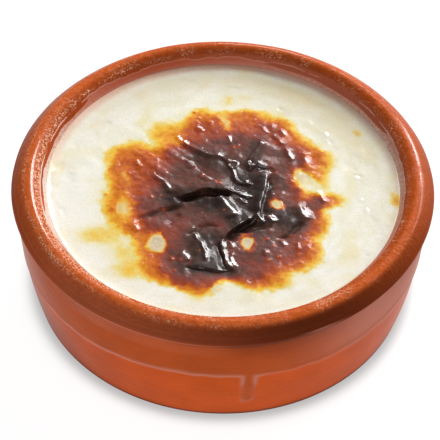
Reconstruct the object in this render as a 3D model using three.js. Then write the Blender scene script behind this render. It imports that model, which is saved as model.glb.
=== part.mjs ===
// Baked rice pudding with a browned, wrinkled skin, set in its own round clay dish.
// Millimetres, +Z up. The origin is the centre of the dish's flat base, the camera side is -Y.
import * as THREE from "three";

// ---- Driving dimensions ----------------------------------------------------------------
const DISH_DIAMETER = 120; // over the rolled lip, its widest part
const DISH_HEIGHT = 40.8; // base to the crest of the lip
const BASE_DIAMETER = 108.6; // where the wall would meet the table
const NECK_DIAMETER = 117; // wall just under the lip
const NECK_HEIGHT = 34.6; // where the wall ends and the lip starts
const FOOT_ROUNDING = 1.2; // rounded edge between wall and base
const FLOOR_THICKNESS = 7;
const BORE_RADIUS = 50.1; // inside of the wall at the pudding's edge
const FLOOR_RADIUS = 43; // flat part of the floor inside
const PUDDING_LEVEL = 36.1; // height of the milk skin near the wall
const CENTRE_SINK = 0.6; // how far the middle has sunk while cooling
const MENISCUS_HEIGHT = 0.3; // skin pulled up against the wall
const MENISCUS_WIDTH = 1.6;
const FITTING_GAP = 0.3; // between pudding and dish
const RELIEF_CEILING = 0.95; // no fold stands further above the sunken skin
const DISH_SEGMENTS = 64;
const SKIN_SEGMENTS = 104;
const FOLDED_RADIUS = 40; // the skin is folded inside this radius
const FOLDED_RINGS = 38;
const PLAIN_RINGS = 7;

const CLAY_COLOUR = 0xa9482a;
const CREAM_COLOUR = 0xece6d4;

// ---- The browned skin, in plan (x to the right, y to the back) -------------------------
// A fold follows a smooth line. The skin rises to a lip along it, and drops off on the
// right-hand side of the line, seen in the direction in which it is written.
const FOLDS = [
  // upper ridge, from the back left down to the middle
  { line: [[-13, 18.7], [-3, 12.7], [2.4, 7.5], [8.5, 1.5]], rise: 0.6, drop: 0.6, slope: 4, hollow: 3 },
  // second ridge, steep towards the back
  { line: [[-0.8, 0.4], [-6, 4.6], [-12.5, 10.5]], rise: 0.5, drop: 0.3, slope: 4, hollow: 2 },
  // ridges of the left lobe
  { line: [[-19.5, 4.5], [-16.5, 0.8], [-14, -3.7]], rise: 0.5, drop: 0.5, slope: 4, hollow: 2.5 },
  { line: [[-24.5, 9.5], [-23, 4], [-21, 0]], rise: 0.3, drop: 0.3, slope: 3, hollow: 2 },
  { line: [[-15.5, 10.3], [-18.5, 12.5], [-20.5, 15]], rise: 0.3, drop: 0.3, slope: 3, hollow: 2 },
  // lip over the long black crevice left of the middle
  { line: [[-14.3, -4], [-7, -1.3], [1.5, -0.6], [8.3, -3.3]], rise: 0.7, drop: 1.6, slope: 3.5, hollow: 1.8 },
  // near bank of the same crevice
  { line: [[3, -3.2], [-5, -5.3], [-10.8, -6.8], [-13.5, -5]], rise: 0.3, drop: 0.2, slope: 2.5, hollow: 1 },
  // long sharp ridge right of the middle, which hooks round to the front
  {
    line: [[0, -21.5], [2, -16.8], [9.5, -11.5], [10.6, -4.5], [11.6, 0], [13.3, 7.8]],
    rise: 0.6, drop: 1.3, slope: 2.5, hollow: 1.8,
  },
  // near bank of the crevice under that ridge
  { line: [[14.7, -14.3], [9, -18], [1.5, -18.7]], rise: 0.3, drop: 0.2, slope: 2.5, hollow: 1 },
  // edge of the hill to the right of the long ridge
  { line: [[15.7, 6.6], [14.1, 1.5], [12.3, -4.5]], rise: 0.4, drop: 0.4, slope: 3, hollow: 1.2 },
  // lip of the lobe at the back right
  {
    line: [[11.5, 19.3], [8.6, 12.3], [7.3, 9.6], [9.4, 9.3], [15, 7.6]],
    rise: 0.7, drop: 0.9, slope: 3, hollow: 2,
  },
  // far side of the same lobe
  { line: [[15, 21], [18.7, 14.5], [20.5, 10.8]], rise: 0.4, drop: 0.3, slope: 2.5, hollow: 2.5 },
  // dark bump on the right
  { line: [[21.3, -6.5], [23, -9], [24.7, -11.5]], rise: 0.5, drop: 0.5, slope: 2.5, hollow: 2.5 },
  // right lip and lower lip of the black bump in front
  { line: [[-0.3, -21.9], [1.9, -27], [4.6, -31.2]], rise: 0.6, drop: 0.8, slope: 2.5, hollow: 1.2 },
  { line: [[-10, -30.6], [-3, -31.8], [4, -31]], rise: 0.4, drop: 0.5, slope: 3, hollow: 1.5 },
];

// A crease is a narrow groove along a smooth line, as deep on both sides.
const CREASES = [
  { line: [[-11, -9.8], [-19.5, -11], [-24.8, -16]], depth: 0.6, width: 1 },
  { line: [[-11.5, -11], [-13.5, -13], [-15.2, -16]], depth: 0.5, width: 0.9 },
  { line: [[23, -13.5], [20, -16], [15.8, -20]], depth: 0.5, width: 1 },
  { line: [[-10, -19.8], [-6, -15.8], [-0.5, -16.2]], depth: 0.6, width: 1 },
];

// A blister is a low rounded hill: centre, half length, half width, turn in degrees, height.
const BLISTERS = [
  { at: [-17, 7], half: [9, 6], turn: -35, height: 0.35 }, // left lobe
  { at: [3, 21], half: [11, 6], turn: -10, height: 0.3 }, // back lobe
  { at: [15, 14], half: [5, 5], turn: 0, height: 0.5 }, // back right lobe
  { at: [24.5, 10.5], half: [3, 1.5], turn: 80, height: 0.5 },
  { at: [18, -13], half: [4, 4], turn: 0, height: 0.4 }, // bump on the right
  { at: [2, -9], half: [4.5, 4], turn: 0, height: 0.5 }, // black knob in the middle
  { at: [-3.5, -23.5], half: [7.5, 4], turn: 100, height: 0.9 }, // black bump in front
  { at: [-19, -15], half: [5.5, 3], turn: -10, height: 0.5 }, // lobe at the front left
  { at: [-8, -36], half: [9, 4.5], turn: -12, height: 0.3 },
  { at: [14, -28], half: [9, 7], turn: 35, height: 0.35 },
  { at: [-28, -6], half: [9, 4], turn: 90, height: 0.25 },
];
const LIP_WIDTH = 1.2; // width over which a fold drops from its lip into its hollow
const LINE_STEPS = 24; // straight pieces in which a line is measured
const END_TAPER = 0.22; // share of a line over which a fold or crease fades at each end

// ---- Skin relief -----------------------------------------------------------------------
const smoothLine = (points) =>
  new THREE.SplineCurve(points.map(([x, y]) => new THREE.Vector2(x, y))).getSpacedPoints(LINE_STEPS);

/** Distance from (x, y) to a line, positive on its right-hand side, and the share of the line before the nearest point. */
function measure(line, x, y) {
  let nearest = { distance: Infinity, along: 0 };
  for (let i = 1; i < line.length; i++) {
    const start = line[i - 1];
    const stepX = line[i].x - start.x;
    const stepY = line[i].y - start.y;
    const share = THREE.MathUtils.clamp(
      ((x - start.x) * stepX + (y - start.y) * stepY) / (stepX * stepX + stepY * stepY), 0, 1);
    const offX = x - start.x - share * stepX;
    const offY = y - start.y - share * stepY;
    const distance = Math.hypot(offX, offY);
    if (distance < Math.abs(nearest.distance)) {
      const side = stepY * offX - stepX * offY >= 0 ? 1 : -1;
      nearest = { distance: side * distance, along: (i - 1 + share) / (line.length - 1) };
    }
  }
  return nearest;
}

const fade = (along) =>
  THREE.MathUtils.smoothstep(along, 0, END_TAPER) * THREE.MathUtils.smoothstep(1 - along, 0, END_TAPER);
const bell = (distance, width) => Math.exp(-((distance / width) ** 2));

/** A fold's height: a gentle rise to the lip, a steep drop over LIP_WIDTH, and a hollow that levels out. */
function foldHeight(fold, x, y) {
  const { distance, along } = measure(fold.path, x, y);
  if (distance < 0) return fade(along) * fold.rise * bell(distance, fold.slope);
  const fallen = THREE.MathUtils.smoothstep(distance, 0, LIP_WIDTH);
  const beyond = Math.max(0, distance - LIP_WIDTH);
  return fade(along) * (fold.rise * (1 - fallen) - fold.drop * fallen * bell(beyond, fold.hollow));
}

function creaseHeight(crease, x, y) {
  const { distance, along } = measure(crease.path, x, y);
  return -fade(along) * crease.depth * bell(distance, crease.width);
}

function blisterHeight(blister, x, y) {
  const turn = THREE.MathUtils.degToRad(blister.turn);
  const dx = x - blister.at[0];
  const dy = y - blister.at[1];
  const lengthwise = (dx * Math.cos(turn) + dy * Math.sin(turn)) / blister.half[0];
  const across = (dy * Math.cos(turn) - dx * Math.sin(turn)) / blister.half[1];
  return blister.height * Math.exp(-lengthwise * lengthwise - across * across);
}

const folds = FOLDS.map((fold) => ({ ...fold, path: smoothLine(fold.line) }));
const creases = CREASES.map((crease) => ({ ...crease, path: smoothLine(crease.line) }));

/** Height of the folded skin above the plain one, in the middle part only. */
function relief(x, y) {
  if (Math.hypot(x, y) > FOLDED_RADIUS) return 0;
  let height = 0;
  for (const fold of folds) height += foldHeight(fold, x, y);
  for (const crease of creases) height += creaseHeight(crease, x, y);
  for (const blister of BLISTERS) height += blisterHeight(blister, x, y);
  const edge = THREE.MathUtils.smoothstep(FOLDED_RADIUS - Math.hypot(x, y), 0, 3);
  return edge * Math.min(height, RELIEF_CEILING);
}

// ---- Dish ------------------------------------------------------------------------------
/** Points from the wall's foot to the neck: the wall bulges out as a parabola. */
function wallPoints(steps) {
  const points = [];
  for (let i = 0; i <= steps; i++) {
    const height = FOOT_ROUNDING + ((NECK_HEIGHT - FOOT_ROUNDING) * i) / steps;
    const left = 1 - height / NECK_HEIGHT;
    const radius = (BASE_DIAMETER + (NECK_DIAMETER - BASE_DIAMETER) * (1 - left * left)) / 2;
    points.push(new THREE.Vector2(radius, height));
  }
  return points;
}

/** The rolled lip, from the neck over the widest ring and the crest to the inner shoulder, as a smooth curve. */
function lipPoints(steps) {
  const widest = DISH_DIAMETER / 2;
  const crest = DISH_HEIGHT;
  const section = [
    [widest - 1.3, crest - 5.4], // under the roll
    [widest - 0.3, crest - 4.6],
    [widest, crest - 3.9], // widest ring
    [widest - 0.9, crest - 2.7],
    [widest - 3.2, crest - 0.6], // outer edge of the flat top
    [widest - 5.4, crest], // crest
    [widest - 7.6, crest - 1], // inner shoulder
    [BORE_RADIUS + 0.4, PUDDING_LEVEL + 0.9],
  ].map(([radius, height]) => new THREE.Vector2(radius, height));
  return new THREE.SplineCurve(section).getPoints(steps);
}

/** The inside, from the pudding's edge down the wall and round to the middle of the floor, widened by a gap. */
function borePoints(gap) {
  return [
    [BORE_RADIUS - gap, PUDDING_LEVEL - 0.6],
    [BORE_RADIUS + 0.2 - gap, 28],
    [BORE_RADIUS - 0.7 - gap, 17],
    [BORE_RADIUS - 3 - gap, FLOOR_THICKNESS + 3 + gap],
    [FLOOR_RADIUS - gap, FLOOR_THICKNESS + gap],
    [0, FLOOR_THICKNESS + gap],
  ].map(([radius, height]) => new THREE.Vector2(radius, height));
}

function dishGeometry() {
  const profile = [
    new THREE.Vector2(0, 0),
    new THREE.Vector2(BASE_DIAMETER / 2 - FOOT_ROUNDING, 0),
    ...wallPoints(5),
    ...lipPoints(12),
    ...borePoints(0),
  ];
  return new THREE.LatheGeometry(profile, DISH_SEGMENTS).rotateX(Math.PI / 2);
}

// ---- Pudding ---------------------------------------------------------------------------
/** Radii of the rings of the skin: close together where it is folded, wider apart near the wall. */
function skinRadii() {
  const edge = BORE_RADIUS - FITTING_GAP;
  const radii = [];
  for (let i = 1; i <= FOLDED_RINGS; i++) radii.push((FOLDED_RADIUS * i) / FOLDED_RINGS);
  for (let i = 1; i <= PLAIN_RINGS; i++) {
    radii.push(FOLDED_RADIUS + ((edge - FOLDED_RADIUS) * i) / PLAIN_RINGS);
  }
  return radii;
}

/** Height of the plain skin: sunk in the middle as a paraboloid, pulled up against the wall. */
function skinHeight(radius) {
  const edge = BORE_RADIUS - FITTING_GAP;
  const sink = CENTRE_SINK * (1 - (radius / edge) ** 2);
  return PUDDING_LEVEL - sink + MENISCUS_HEIGHT * Math.exp((radius - edge) / MENISCUS_WIDTH);
}

function puddingGeometry() {
  const body = borePoints(FITTING_GAP).reverse();
  const skin = skinRadii().reverse().map((radius) => new THREE.Vector2(radius, skinHeight(radius)));
  const profile = [...body, ...skin, new THREE.Vector2(0, skinHeight(0))];
  const geometry = new THREE.LatheGeometry(profile, SKIN_SEGMENTS).rotateX(Math.PI / 2);
  const position = geometry.attributes.position;
  const skinFloor = PUDDING_LEVEL - CENTRE_SINK - 0.01;
  for (let i = 0; i < position.count; i++) {
    const height = position.getZ(i);
    if (height > skinFloor) position.setZ(i, height + relief(position.getX(i), position.getY(i)));
  }
  geometry.computeVertexNormals();
  return geometry;
}

// ---- The object ------------------------------------------------------------------------
function namedMesh(name, geometry, colour, roughness) {
  const material = new THREE.MeshStandardMaterial({ color: colour, roughness, metalness: 0 });
  const mesh = new THREE.Mesh(geometry, material);
  mesh.name = name;
  return mesh;
}

const ricePudding = new THREE.Group();
ricePudding.add(namedMesh("dish", dishGeometry(), CLAY_COLOUR, 0.3));
ricePudding.add(namedMesh("pudding", puddingGeometry(), CREAM_COLOUR, 0.5));

export default ricePudding;
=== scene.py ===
"""Looks of a baked rice pudding in its glazed clay dish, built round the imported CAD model.

Shapes are worked out in millimetres in the CAD frame: +Z up, -Y to the camera, the origin at the
centre of the dish's base. They become metres when a mesh is made. A section is a row of (radius,
height) points, and a plan is seen from above, with x to the right and y to the back.
"""
import logging
import math
from dataclasses import dataclass, field
from enum import Enum

import bpy
import numpy as np
from mathutils import Matrix, Vector
from numpy.typing import NDArray


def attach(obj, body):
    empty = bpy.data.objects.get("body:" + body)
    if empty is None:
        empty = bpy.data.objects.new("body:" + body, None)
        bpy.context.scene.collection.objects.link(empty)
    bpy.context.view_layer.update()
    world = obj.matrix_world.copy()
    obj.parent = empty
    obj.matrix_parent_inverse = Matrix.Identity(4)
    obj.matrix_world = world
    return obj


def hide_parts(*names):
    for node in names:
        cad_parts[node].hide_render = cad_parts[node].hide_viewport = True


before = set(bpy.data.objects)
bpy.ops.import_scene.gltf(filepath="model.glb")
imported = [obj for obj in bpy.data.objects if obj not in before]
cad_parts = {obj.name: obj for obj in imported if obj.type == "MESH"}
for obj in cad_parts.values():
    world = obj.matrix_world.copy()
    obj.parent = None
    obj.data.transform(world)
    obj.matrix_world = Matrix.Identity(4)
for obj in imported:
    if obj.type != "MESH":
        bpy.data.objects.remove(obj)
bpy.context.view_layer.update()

Values = NDArray[np.float64]
Plan = tuple[tuple[float, float], ...]
Colour = tuple[float, float, float, float]
Source = float | Colour | bpy.types.NodeSocket

MM = 0.001
log = logging.getLogger("rice_pudding")


# ---- Numbers and fields ----
def paint(red: int, green: int, blue: int) -> Colour:
    """Linear colour of an sRGB one: v/12.92 near black, and ((v + 0.055) / 1.055) to the 2.4 above.

    Args:
        red, green, blue: sRGB parts from 0 to 255.

    Returns:
        The linear parts from 0 to 1, and an alpha of 1.
    """
    parts = [v / 255 for v in (red, green, blue)]
    linear = [v / 12.92 if v <= 0.04045 else ((v + 0.055) / 1.055) ** 2.4 for v in parts]
    return (*linear, 1.0)


def bell(distance: Values, width: float | Values) -> Values:
    """The bell curve exp(-(distance / width) squared)."""
    return np.exp(-((distance / width) ** 2))


def around(turn: Values, middle: float) -> Values:
    """How far a turn lies from a middle one, from -180 to 180 degrees."""
    return (turn - middle + 180) % 360 - 180


def near(turn: Values, middle: float, width: float) -> Values:
    """The bell curve of how far a turn lies from a middle one, all in degrees."""
    return bell(around(turn, middle), width)


def polar(plan: Values) -> tuple[Values, Values]:
    """Radius in mm and turn in degrees of plan points."""
    x, y = plan.T
    return np.hypot(x, y), np.degrees(np.arctan2(y, x))


def ease(value: Values, start: float, end: float) -> Values:
    """Smooth step from 0 at start to 1 at end: t squared times (3 - 2 t). It falls where end < start."""
    t = np.clip((value - start) / (end - start), 0, 1)
    return t * t * (3 - 2 * t)


def smooth_line(points: Plan | Values, steps: int) -> Values:
    """Catmull-Rom curve through the points, cut into evenly long straight pieces.

    Between two points, with t from 0 to 1, it is the cubic that passes through both and whose slope
    at each is half the step between its neighbours.

    Args:
        points: the points, any number of coordinates each.
        steps: how many pieces.

    Returns:
        steps + 1 points.
    """
    knots = np.asarray(points, float)
    padded = np.vstack([knots[:1], knots, knots[-1:]])
    spot = np.linspace(0, len(knots) - 1, 24 * len(knots))
    piece = np.minimum(spot.astype(int), len(knots) - 2)
    t = (spot - piece)[:, None]
    before, start, end, after = (padded[piece + k] for k in range(4))
    curve = start + 0.5 * t * (
        end - before
        + t * (2 * before - 5 * start + 4 * end - after + t * (3 * (start - end) + after - before))
    )
    length = np.concatenate([[0], np.cumsum(np.linalg.norm(np.diff(curve, axis=0), axis=1))])
    even = np.linspace(0, length[-1], steps + 1)
    return np.stack([np.interp(even, length, column) for column in curve.T], axis=1)


@dataclass(frozen=True)
class Unevenness:
    """A smooth random field in space: values at the corners of a cubic lattice, blended between them."""

    wavelength: float
    height: float
    seed: int
    lattice: int = 32

    def at(self, points: Values) -> Values:
        """The field's value at each point.

        Each of the 8 corners of a point's cell counts by the product of its three fades, and a fade
        is t cubed times (t (6 t - 15) + 10), so that the slope is smooth across cells too.

        Args:
            points: array of any shape that ends in x, y, z, in mm.

        Returns:
            One value for each point, between -height and height.
        """
        corners = np.random.default_rng(self.seed).uniform(-1, 1, (self.lattice,) * 3)
        spot = points / self.wavelength
        cell = np.floor(spot).astype(int)
        t = spot - cell
        fade_in = t * t * t * (t * (6 * t - 15) + 10)
        total = np.zeros(points.shape[:-1])
        for corner in np.ndindex(2, 2, 2):
            share = np.prod(np.where(corner, fade_in, 1 - fade_in), axis=-1)
            i, j, k = np.moveaxis((cell + corner) % self.lattice, -1, 0)
            total += share * corners[i, j, k]
        return self.height * total


Fields = tuple[Unevenness, ...]


def together(fields: Fields, points: Values) -> Values:
    """The sum of several fields at each point."""
    return sum(part.at(points) for part in fields)


@dataclass(frozen=True)
class Place:
    """Where plan points lie beside a line."""

    distance: Values  # mm, positive on the right-hand side of the line as it is written
    along: Values  # share of the line before the nearest point
    towards: Values  # unit steps to the right-hand side


def beside(plan: Values, line: Values) -> Place:
    """Distance of plan points from a line of straight pieces.

    For each piece, the nearest point is the foot of the perpendicular, kept between the piece's ends,
    and the nearest of the pieces counts.

    Args:
        plan: rows of x, y.
        line: rows of x, y along the line.

    Returns:
        The place of each point beside the line.
    """
    start, step = line[:-1], np.diff(line, axis=0)
    away = plan[:, None, :] - start
    share = np.clip((away * step).sum(2) / (step * step).sum(1), 0, 1)
    off = away - share[..., None] * step
    length = np.hypot(off[..., 0], off[..., 1])
    rows = np.arange(len(plan))
    nearest = length.argmin(1)
    step, off, share = step[nearest], off[rows, nearest], share[rows, nearest]
    side = np.where(step[:, 1] * off[:, 0] - step[:, 0] * off[:, 1] >= 0, 1.0, -1.0)
    towards = np.stack([step[:, 1], -step[:, 0]], axis=1) / np.linalg.norm(step, axis=1)[:, None]
    return Place(side * length[rows, nearest], (nearest + share) / (len(line) - 1), towards)


def rotated(plan: Values, turn: float) -> tuple[Values, Values]:
    """How far plan points lie along a direction and across it.

    Args:
        plan: rows of x, y.
        turn: the direction, in degrees anticlockwise from +X.

    Returns:
        x cos + y sin, along it, and y cos - x sin, to its left.
    """
    cos, sin = math.cos(math.radians(turn)), math.sin(math.radians(turn))
    x, y = plan.T
    return x * cos + y * sin, y * cos - x * sin


def flat(plan: Values) -> Values:
    """Plan points as points in space, at a height of 0."""
    return np.column_stack([plan, np.zeros(len(plan))])


@dataclass(frozen=True)
class Patch:
    """An oval in plan."""

    x: float
    y: float
    half_length: float
    half_width: float
    turn: float = 0.0  # degrees, anticlockwise

    def reach(self, plan: Values) -> Values:
        """Distance from the middle in half sizes: root of (u / half length)^2 + (v / half width)^2."""
        u, v = rotated(plan - (self.x, self.y), self.turn)
        return np.hypot(u / self.half_length, v / self.half_width)

    def depth(self, plan: Values) -> Values:
        """How far inside the oval a point lies, in mm, about: (1 - reach) times the smaller half size."""
        return (1 - self.reach(plan)) * min(self.half_length, self.half_width)

    def hill(self, plan: Values) -> Values:
        """The bell curve of the reach, 1 in the middle."""
        return bell(self.reach(plan), 1.0)


def uncovered(patches: tuple[Patch, ...], plan: Values, most: float = 1.0) -> Values:
    """What soft patches leave of plan points: the product of 1 - most x each patch's hill."""
    return np.prod([1 - most * patch.hill(plan) for patch in patches], axis=0)


# ---- Meshes ----
class Ends(Enum):
    """How a surface of rings is closed at its first and last ring."""

    POINTS = "points"  # a fan to the ring's mean point
    JOINED = "joined"  # the last ring is joined to the first, as on a tyre


def ring_mesh(name: str, rings: Values, ends: Ends, marks: dict[str, Values]) -> bpy.types.Object:
    """Makes a closed mesh of rings: four-sided faces between neighbouring rings.

    Point (i, j) is on ring i at place j round it, and each face joins (i, j), (i, j + 1),
    (i + 1, j + 1) and (i + 1, j). Anticlockwise rings that run from the bottom middle up the
    outside give faces that point outwards.

    Args:
        name: the object's and mesh's name.
        rings: array of rings, places and x, y, z in mm.
        ends: how the surface is closed.
        marks: values for each ring and place, kept as vertex attributes.

    Returns:
        The new object, linked to the scene, in metres.
    """
    count, places = rings.shape[:2]
    place = np.arange(count * places).reshape(count, places)
    following = np.roll(place, -1, axis=1)
    if ends is Ends.JOINED:
        upper, upper_following = np.roll(place, -1, axis=0), np.roll(following, -1, axis=0)
        quads = np.stack([place, following, upper_following, upper], axis=-1).reshape(-1, 4)
        points, fans = rings.reshape(-1, 3), np.empty((0, 3), int)
    else:
        quads = np.stack([place[:-1], following[:-1], following[1:], place[1:]], axis=-1).reshape(-1, 4)
        points = np.vstack([rings.reshape(-1, 3), rings[0].mean(0), rings[-1].mean(0)])
        first, last = np.full(places, count * places), np.full(places, count * places + 1)
        fans = np.vstack([
            np.stack([first, following[0], place[0]], axis=1),
            np.stack([last, place[-1], following[-1]], axis=1),
        ])
    mesh = bpy.data.meshes.new(name)
    mesh.from_pydata((points * MM).tolist(), [], quads.tolist() + fans.tolist())
    for mark, value in marks.items():
        value = np.broadcast_to(value, (count, places))
        tips = [] if ends is Ends.JOINED else [value[0].mean(), value[-1].mean()]
        attribute = mesh.attributes.new(mark, "FLOAT", "POINT")
        attribute.data.foreach_set("value", np.concatenate([value.ravel(), tips]).astype(np.float32))
    mesh.polygons.foreach_set("use_smooth", np.ones(len(mesh.polygons), bool))
    mesh.update()
    return in_scene(name, mesh)


def in_scene(name: str, data: bpy.types.ID) -> bpy.types.Object:
    """A new object of a mesh, light or camera, linked to the scene."""
    piece = bpy.data.objects.new(name, data)
    bpy.context.scene.collection.objects.link(piece)
    return piece


def turned(section: Values, angle: Values) -> Values:
    """Rings of a section turned round the Z axis: x = radius cos(angle), y = radius sin(angle).

    Args:
        section: rows of radius and height, or an array of rings and places of them.
        angle: the angle of each place, in radians.

    Returns:
        Array of rings, places and x, y, z.
    """
    if section.ndim == 2:
        section = np.repeat(section[:, None, :], len(angle), axis=1)
    radius, height = section[..., 0], section[..., 1]
    return np.stack([radius * np.cos(angle), radius * np.sin(angle), height], axis=-1)


def turn_angles(places: int, focus: float = 0.0, crowd: float = 0.0, spread: float = 8.0) -> Values:
    """Angles of the places round a ring, anticlockwise from -X, in radians.

    Their density is 1 plus a bell of height crowd round the focus, so that a small feature there
    gets more of them.

    Args:
        places: how many.
        focus: the middle of the crowd, in degrees.
        crowd: how much denser they stand there.
        spread: the bell's width in degrees.

    Returns:
        One angle for each place.
    """
    fine = np.linspace(-180, 180, 7201)
    density = 1 + crowd * near(fine, focus, spread)
    share = np.concatenate([[0], np.cumsum((density[1:] + density[:-1]) / 2)])
    return np.radians(np.interp(np.arange(places) / places, share / share[-1], fine))


# ---- Materials ----
class Sketch:
    """Adds nodes to one node tree and joins them."""

    def __init__(self, tree: bpy.types.NodeTree) -> None:
        """Starts on an empty tree."""
        self.tree = tree
        tree.nodes.clear()

    def add(self, kind: str, settings: dict | None = None, inputs: dict | None = None) -> bpy.types.Node:
        """Adds a node.

        Args:
            kind: the node's type, without "ShaderNode".
            settings: properties of the node.
            inputs: for each input, by name or number, a value or the output that feeds it.

        Returns:
            The node.
        """
        node = self.tree.nodes.new("ShaderNode" + kind)
        for key, value in (settings or {}).items():
            setattr(node, key, value)
        for key, value in (inputs or {}).items():
            if isinstance(value, bpy.types.NodeSocket):
                self.tree.links.new(value, node.inputs[key])
            else:
                node.inputs[key].default_value = value
        return node

    def where(self) -> bpy.types.NodeSocket:
        """The point's own place on its object, in metres."""
        return self.add("TexCoord").outputs["Object"]

    def mark(self, name: str) -> bpy.types.NodeSocket:
        """The value of a vertex attribute."""
        return self.add("Attribute", {"attribute_name": name}).outputs["Fac"]

    def maths(self, operation: str, *values: Source) -> bpy.types.NodeSocket:
        """The result of a Math node.

        Args:
            operation: the node's operation, with _CLAMPED at its end to keep the result from 0 to 1.
            values: one to three numbers or outputs.
        """
        clamp = operation.endswith("_CLAMPED")
        settings = {"operation": operation.removesuffix("_CLAMPED"), "use_clamp": clamp}
        return self.add("Math", settings, dict(enumerate(values))).outputs[0]

    def blend(self, share: Source, below: Source, above: Source, mode: str = "MIX") -> bpy.types.NodeSocket:
        """Two colours mixed by a share.

        Args:
            share: 0 gives below and 1 gives above.
            below, above: colours or outputs.
            mode: the Mix node's blend type.

        Returns:
            The mixed colour.
        """
        settings = {"data_type": "RGBA", "blend_type": mode}
        return self.add("Mix", settings, {0: share, 6: below, 7: above}).outputs[2]

    def cover(self, colour: Source, layers: tuple[tuple[Source, Source], ...]) -> bpy.types.NodeSocket:
        """A colour under layers, from the lowest up, each a share and a colour."""
        for share, above in layers:
            colour = self.blend(share, colour, above)
        return colour

    def shade(self, colour: bpy.types.NodeSocket, light: bpy.types.NodeSocket) -> bpy.types.NodeSocket:
        """A colour times a value."""
        return self.blend(1.0, colour, self.grey(light), "MULTIPLY")

    def grey(self, value: bpy.types.NodeSocket) -> bpy.types.NodeSocket:
        """The grey colour of a value."""
        return self.add("CombineColor", None, {0: value, 1: value, 2: value}).outputs[0]

    def ramp(self, share: bpy.types.NodeSocket, stops: dict[float, Colour]) -> bpy.types.NodeSocket:
        """A colour that changes with a share.

        Args:
            share: a value from 0 to 1.
            stops: the colour at each share, in rising order from 0 to 1.
        """
        node = self.add("ValToRGB", None, {"Fac": share})
        elements = node.color_ramp.elements
        for place, colour in list(stops.items())[2:]:
            elements.new(place).color = colour
        for element, (place, colour) in zip(sorted(elements, key=lambda e: e.position), stops.items()):
            element.position, element.color = place, colour
        return node.outputs["Color"]

    def grain(
        self, scale: float, detail: float = 3.0, roughness: float = 0.5, distortion: float = 0.0
    ) -> bpy.types.NodeSocket:
        """Noise on object coordinates, about 0.5 in the mean; scale is in waves for each metre."""
        return self.add("TexNoise", None, {
            "Vector": self.where(),
            "Scale": scale,
            "Detail": detail,
            "Roughness": roughness,
            "Distortion": distortion,
        }).outputs["Fac"]


def effect_group(
    name: str, inputs: dict[str, float], output: str
) -> tuple[Sketch, bpy.types.Node, bpy.types.Node]:
    """Starts a shader node group.

    Args:
        name: the group's name.
        inputs: its value inputs with what they are at first.
        output: the name of its one value output.

    Returns:
        A sketch on the group's tree, and its input and output nodes.
    """
    tree = bpy.data.node_groups.new(name, "ShaderNodeTree")
    for socket, value in inputs.items():
        tree.interface.new_socket(socket, in_out="INPUT", socket_type="NodeSocketFloat").default_value = value
    tree.interface.new_socket(output, in_out="OUTPUT", socket_type="NodeSocketFloat")
    sketch = Sketch(tree)
    return sketch, tree.nodes.new("NodeGroupInput"), tree.nodes.new("NodeGroupOutput")


def build_speck_group() -> bpy.types.NodeTree:
    """Small round specks: Mask is 1 inside a speck and 0 outside.

    A cell pattern gives each point its distance to the nearest of scattered centres. The mask is
    smooth from 1 to 0 as that distance passes Size, in cell widths, and only the cells whose random
    number is below Share hold a speck.

    Returns:
        The group's tree, with the inputs Scale, in cells for each metre, Size and Share.
    """
    inputs = {"Scale": 400.0, "Size": 0.2, "Share": 0.3}
    sketch, given, result = effect_group("Specks", inputs, "Mask")
    cells = sketch.add("TexVoronoi", None, {"Vector": sketch.where(), "Scale": given.outputs["Scale"]})
    edge = sketch.add("MapRange", {"interpolation_type": "SMOOTHSTEP"}, {
        "Value": cells.outputs["Distance"],
        "From Min": sketch.maths("MULTIPLY", given.outputs["Size"], 0.5),
        "From Max": given.outputs["Size"],
        "To Min": 1.0,
        "To Max": 0.0,
    })
    number = sketch.add("SeparateColor", None, {0: cells.outputs["Color"]}).outputs[0]
    chosen = sketch.maths("LESS_THAN", number, given.outputs["Share"])
    sketch.tree.links.new(sketch.maths("MULTIPLY", edge.outputs[0], chosen), result.inputs["Mask"])
    return sketch.tree


def build_texture_group() -> bpy.types.NodeTree:
    """Fine surface height from two noises: Coarse waves plus Fine ones that are a third as high.

    Returns:
        The group's tree, with the two scales as inputs.
    """
    sketch, given, result = effect_group("Surface grain", {"Coarse": 300.0, "Fine": 1200.0}, "Height")
    where = sketch.where()
    coarse = sketch.add("TexNoise", None, {
        "Vector": where,
        "Scale": given.outputs["Coarse"],
        "Distortion": 0.8,
    })
    fine = sketch.add("TexNoise", None, {"Vector": where, "Scale": given.outputs["Fine"]})
    height = sketch.maths("MULTIPLY_ADD", fine.outputs["Fac"], 0.33, coarse.outputs["Fac"])
    sketch.tree.links.new(height, result.inputs["Height"])
    return sketch.tree


@dataclass(frozen=True)
class Effects:
    """The node groups that the finishes share."""

    specks: bpy.types.NodeTree
    texture: bpy.types.NodeTree

    def speck_mask(self, sketch: Sketch, scale: float, size: float, share: float) -> bpy.types.NodeSocket:
        """Places the speck group in a material and returns its mask."""
        inputs = {"Scale": scale, "Size": size, "Share": share}
        return sketch.add("Group", {"node_tree": self.specks}, inputs).outputs["Mask"]

    def bump(
        self, sketch: Sketch, coarse: float, fine: float, depth: float, share: Source = 1.0
    ) -> bpy.types.NodeSocket:
        """Places the grain group in a material and returns the normal bent by it.

        Args:
            sketch: the material's sketch.
            coarse, fine: the two scales in waves for each metre.
            depth: height of the grain in metres.
            share: how much of it there is.

        Returns:
            The normal for a shader.
        """
        grain = sketch.add("Group", {"node_tree": self.texture}, {"Coarse": coarse, "Fine": fine})
        height = sketch.maths("MULTIPLY", grain.outputs["Height"], share)
        inputs = {"Strength": 1.0, "Distance": depth, "Height": height}
        return sketch.add("Bump", None, inputs).outputs["Normal"]


def new_material(name: str) -> tuple[bpy.types.Material, Sketch]:
    """A new empty material and a sketch on its tree."""
    material = bpy.data.materials.new(name)
    material.use_nodes = True
    return material, Sketch(material.node_tree)


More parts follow.
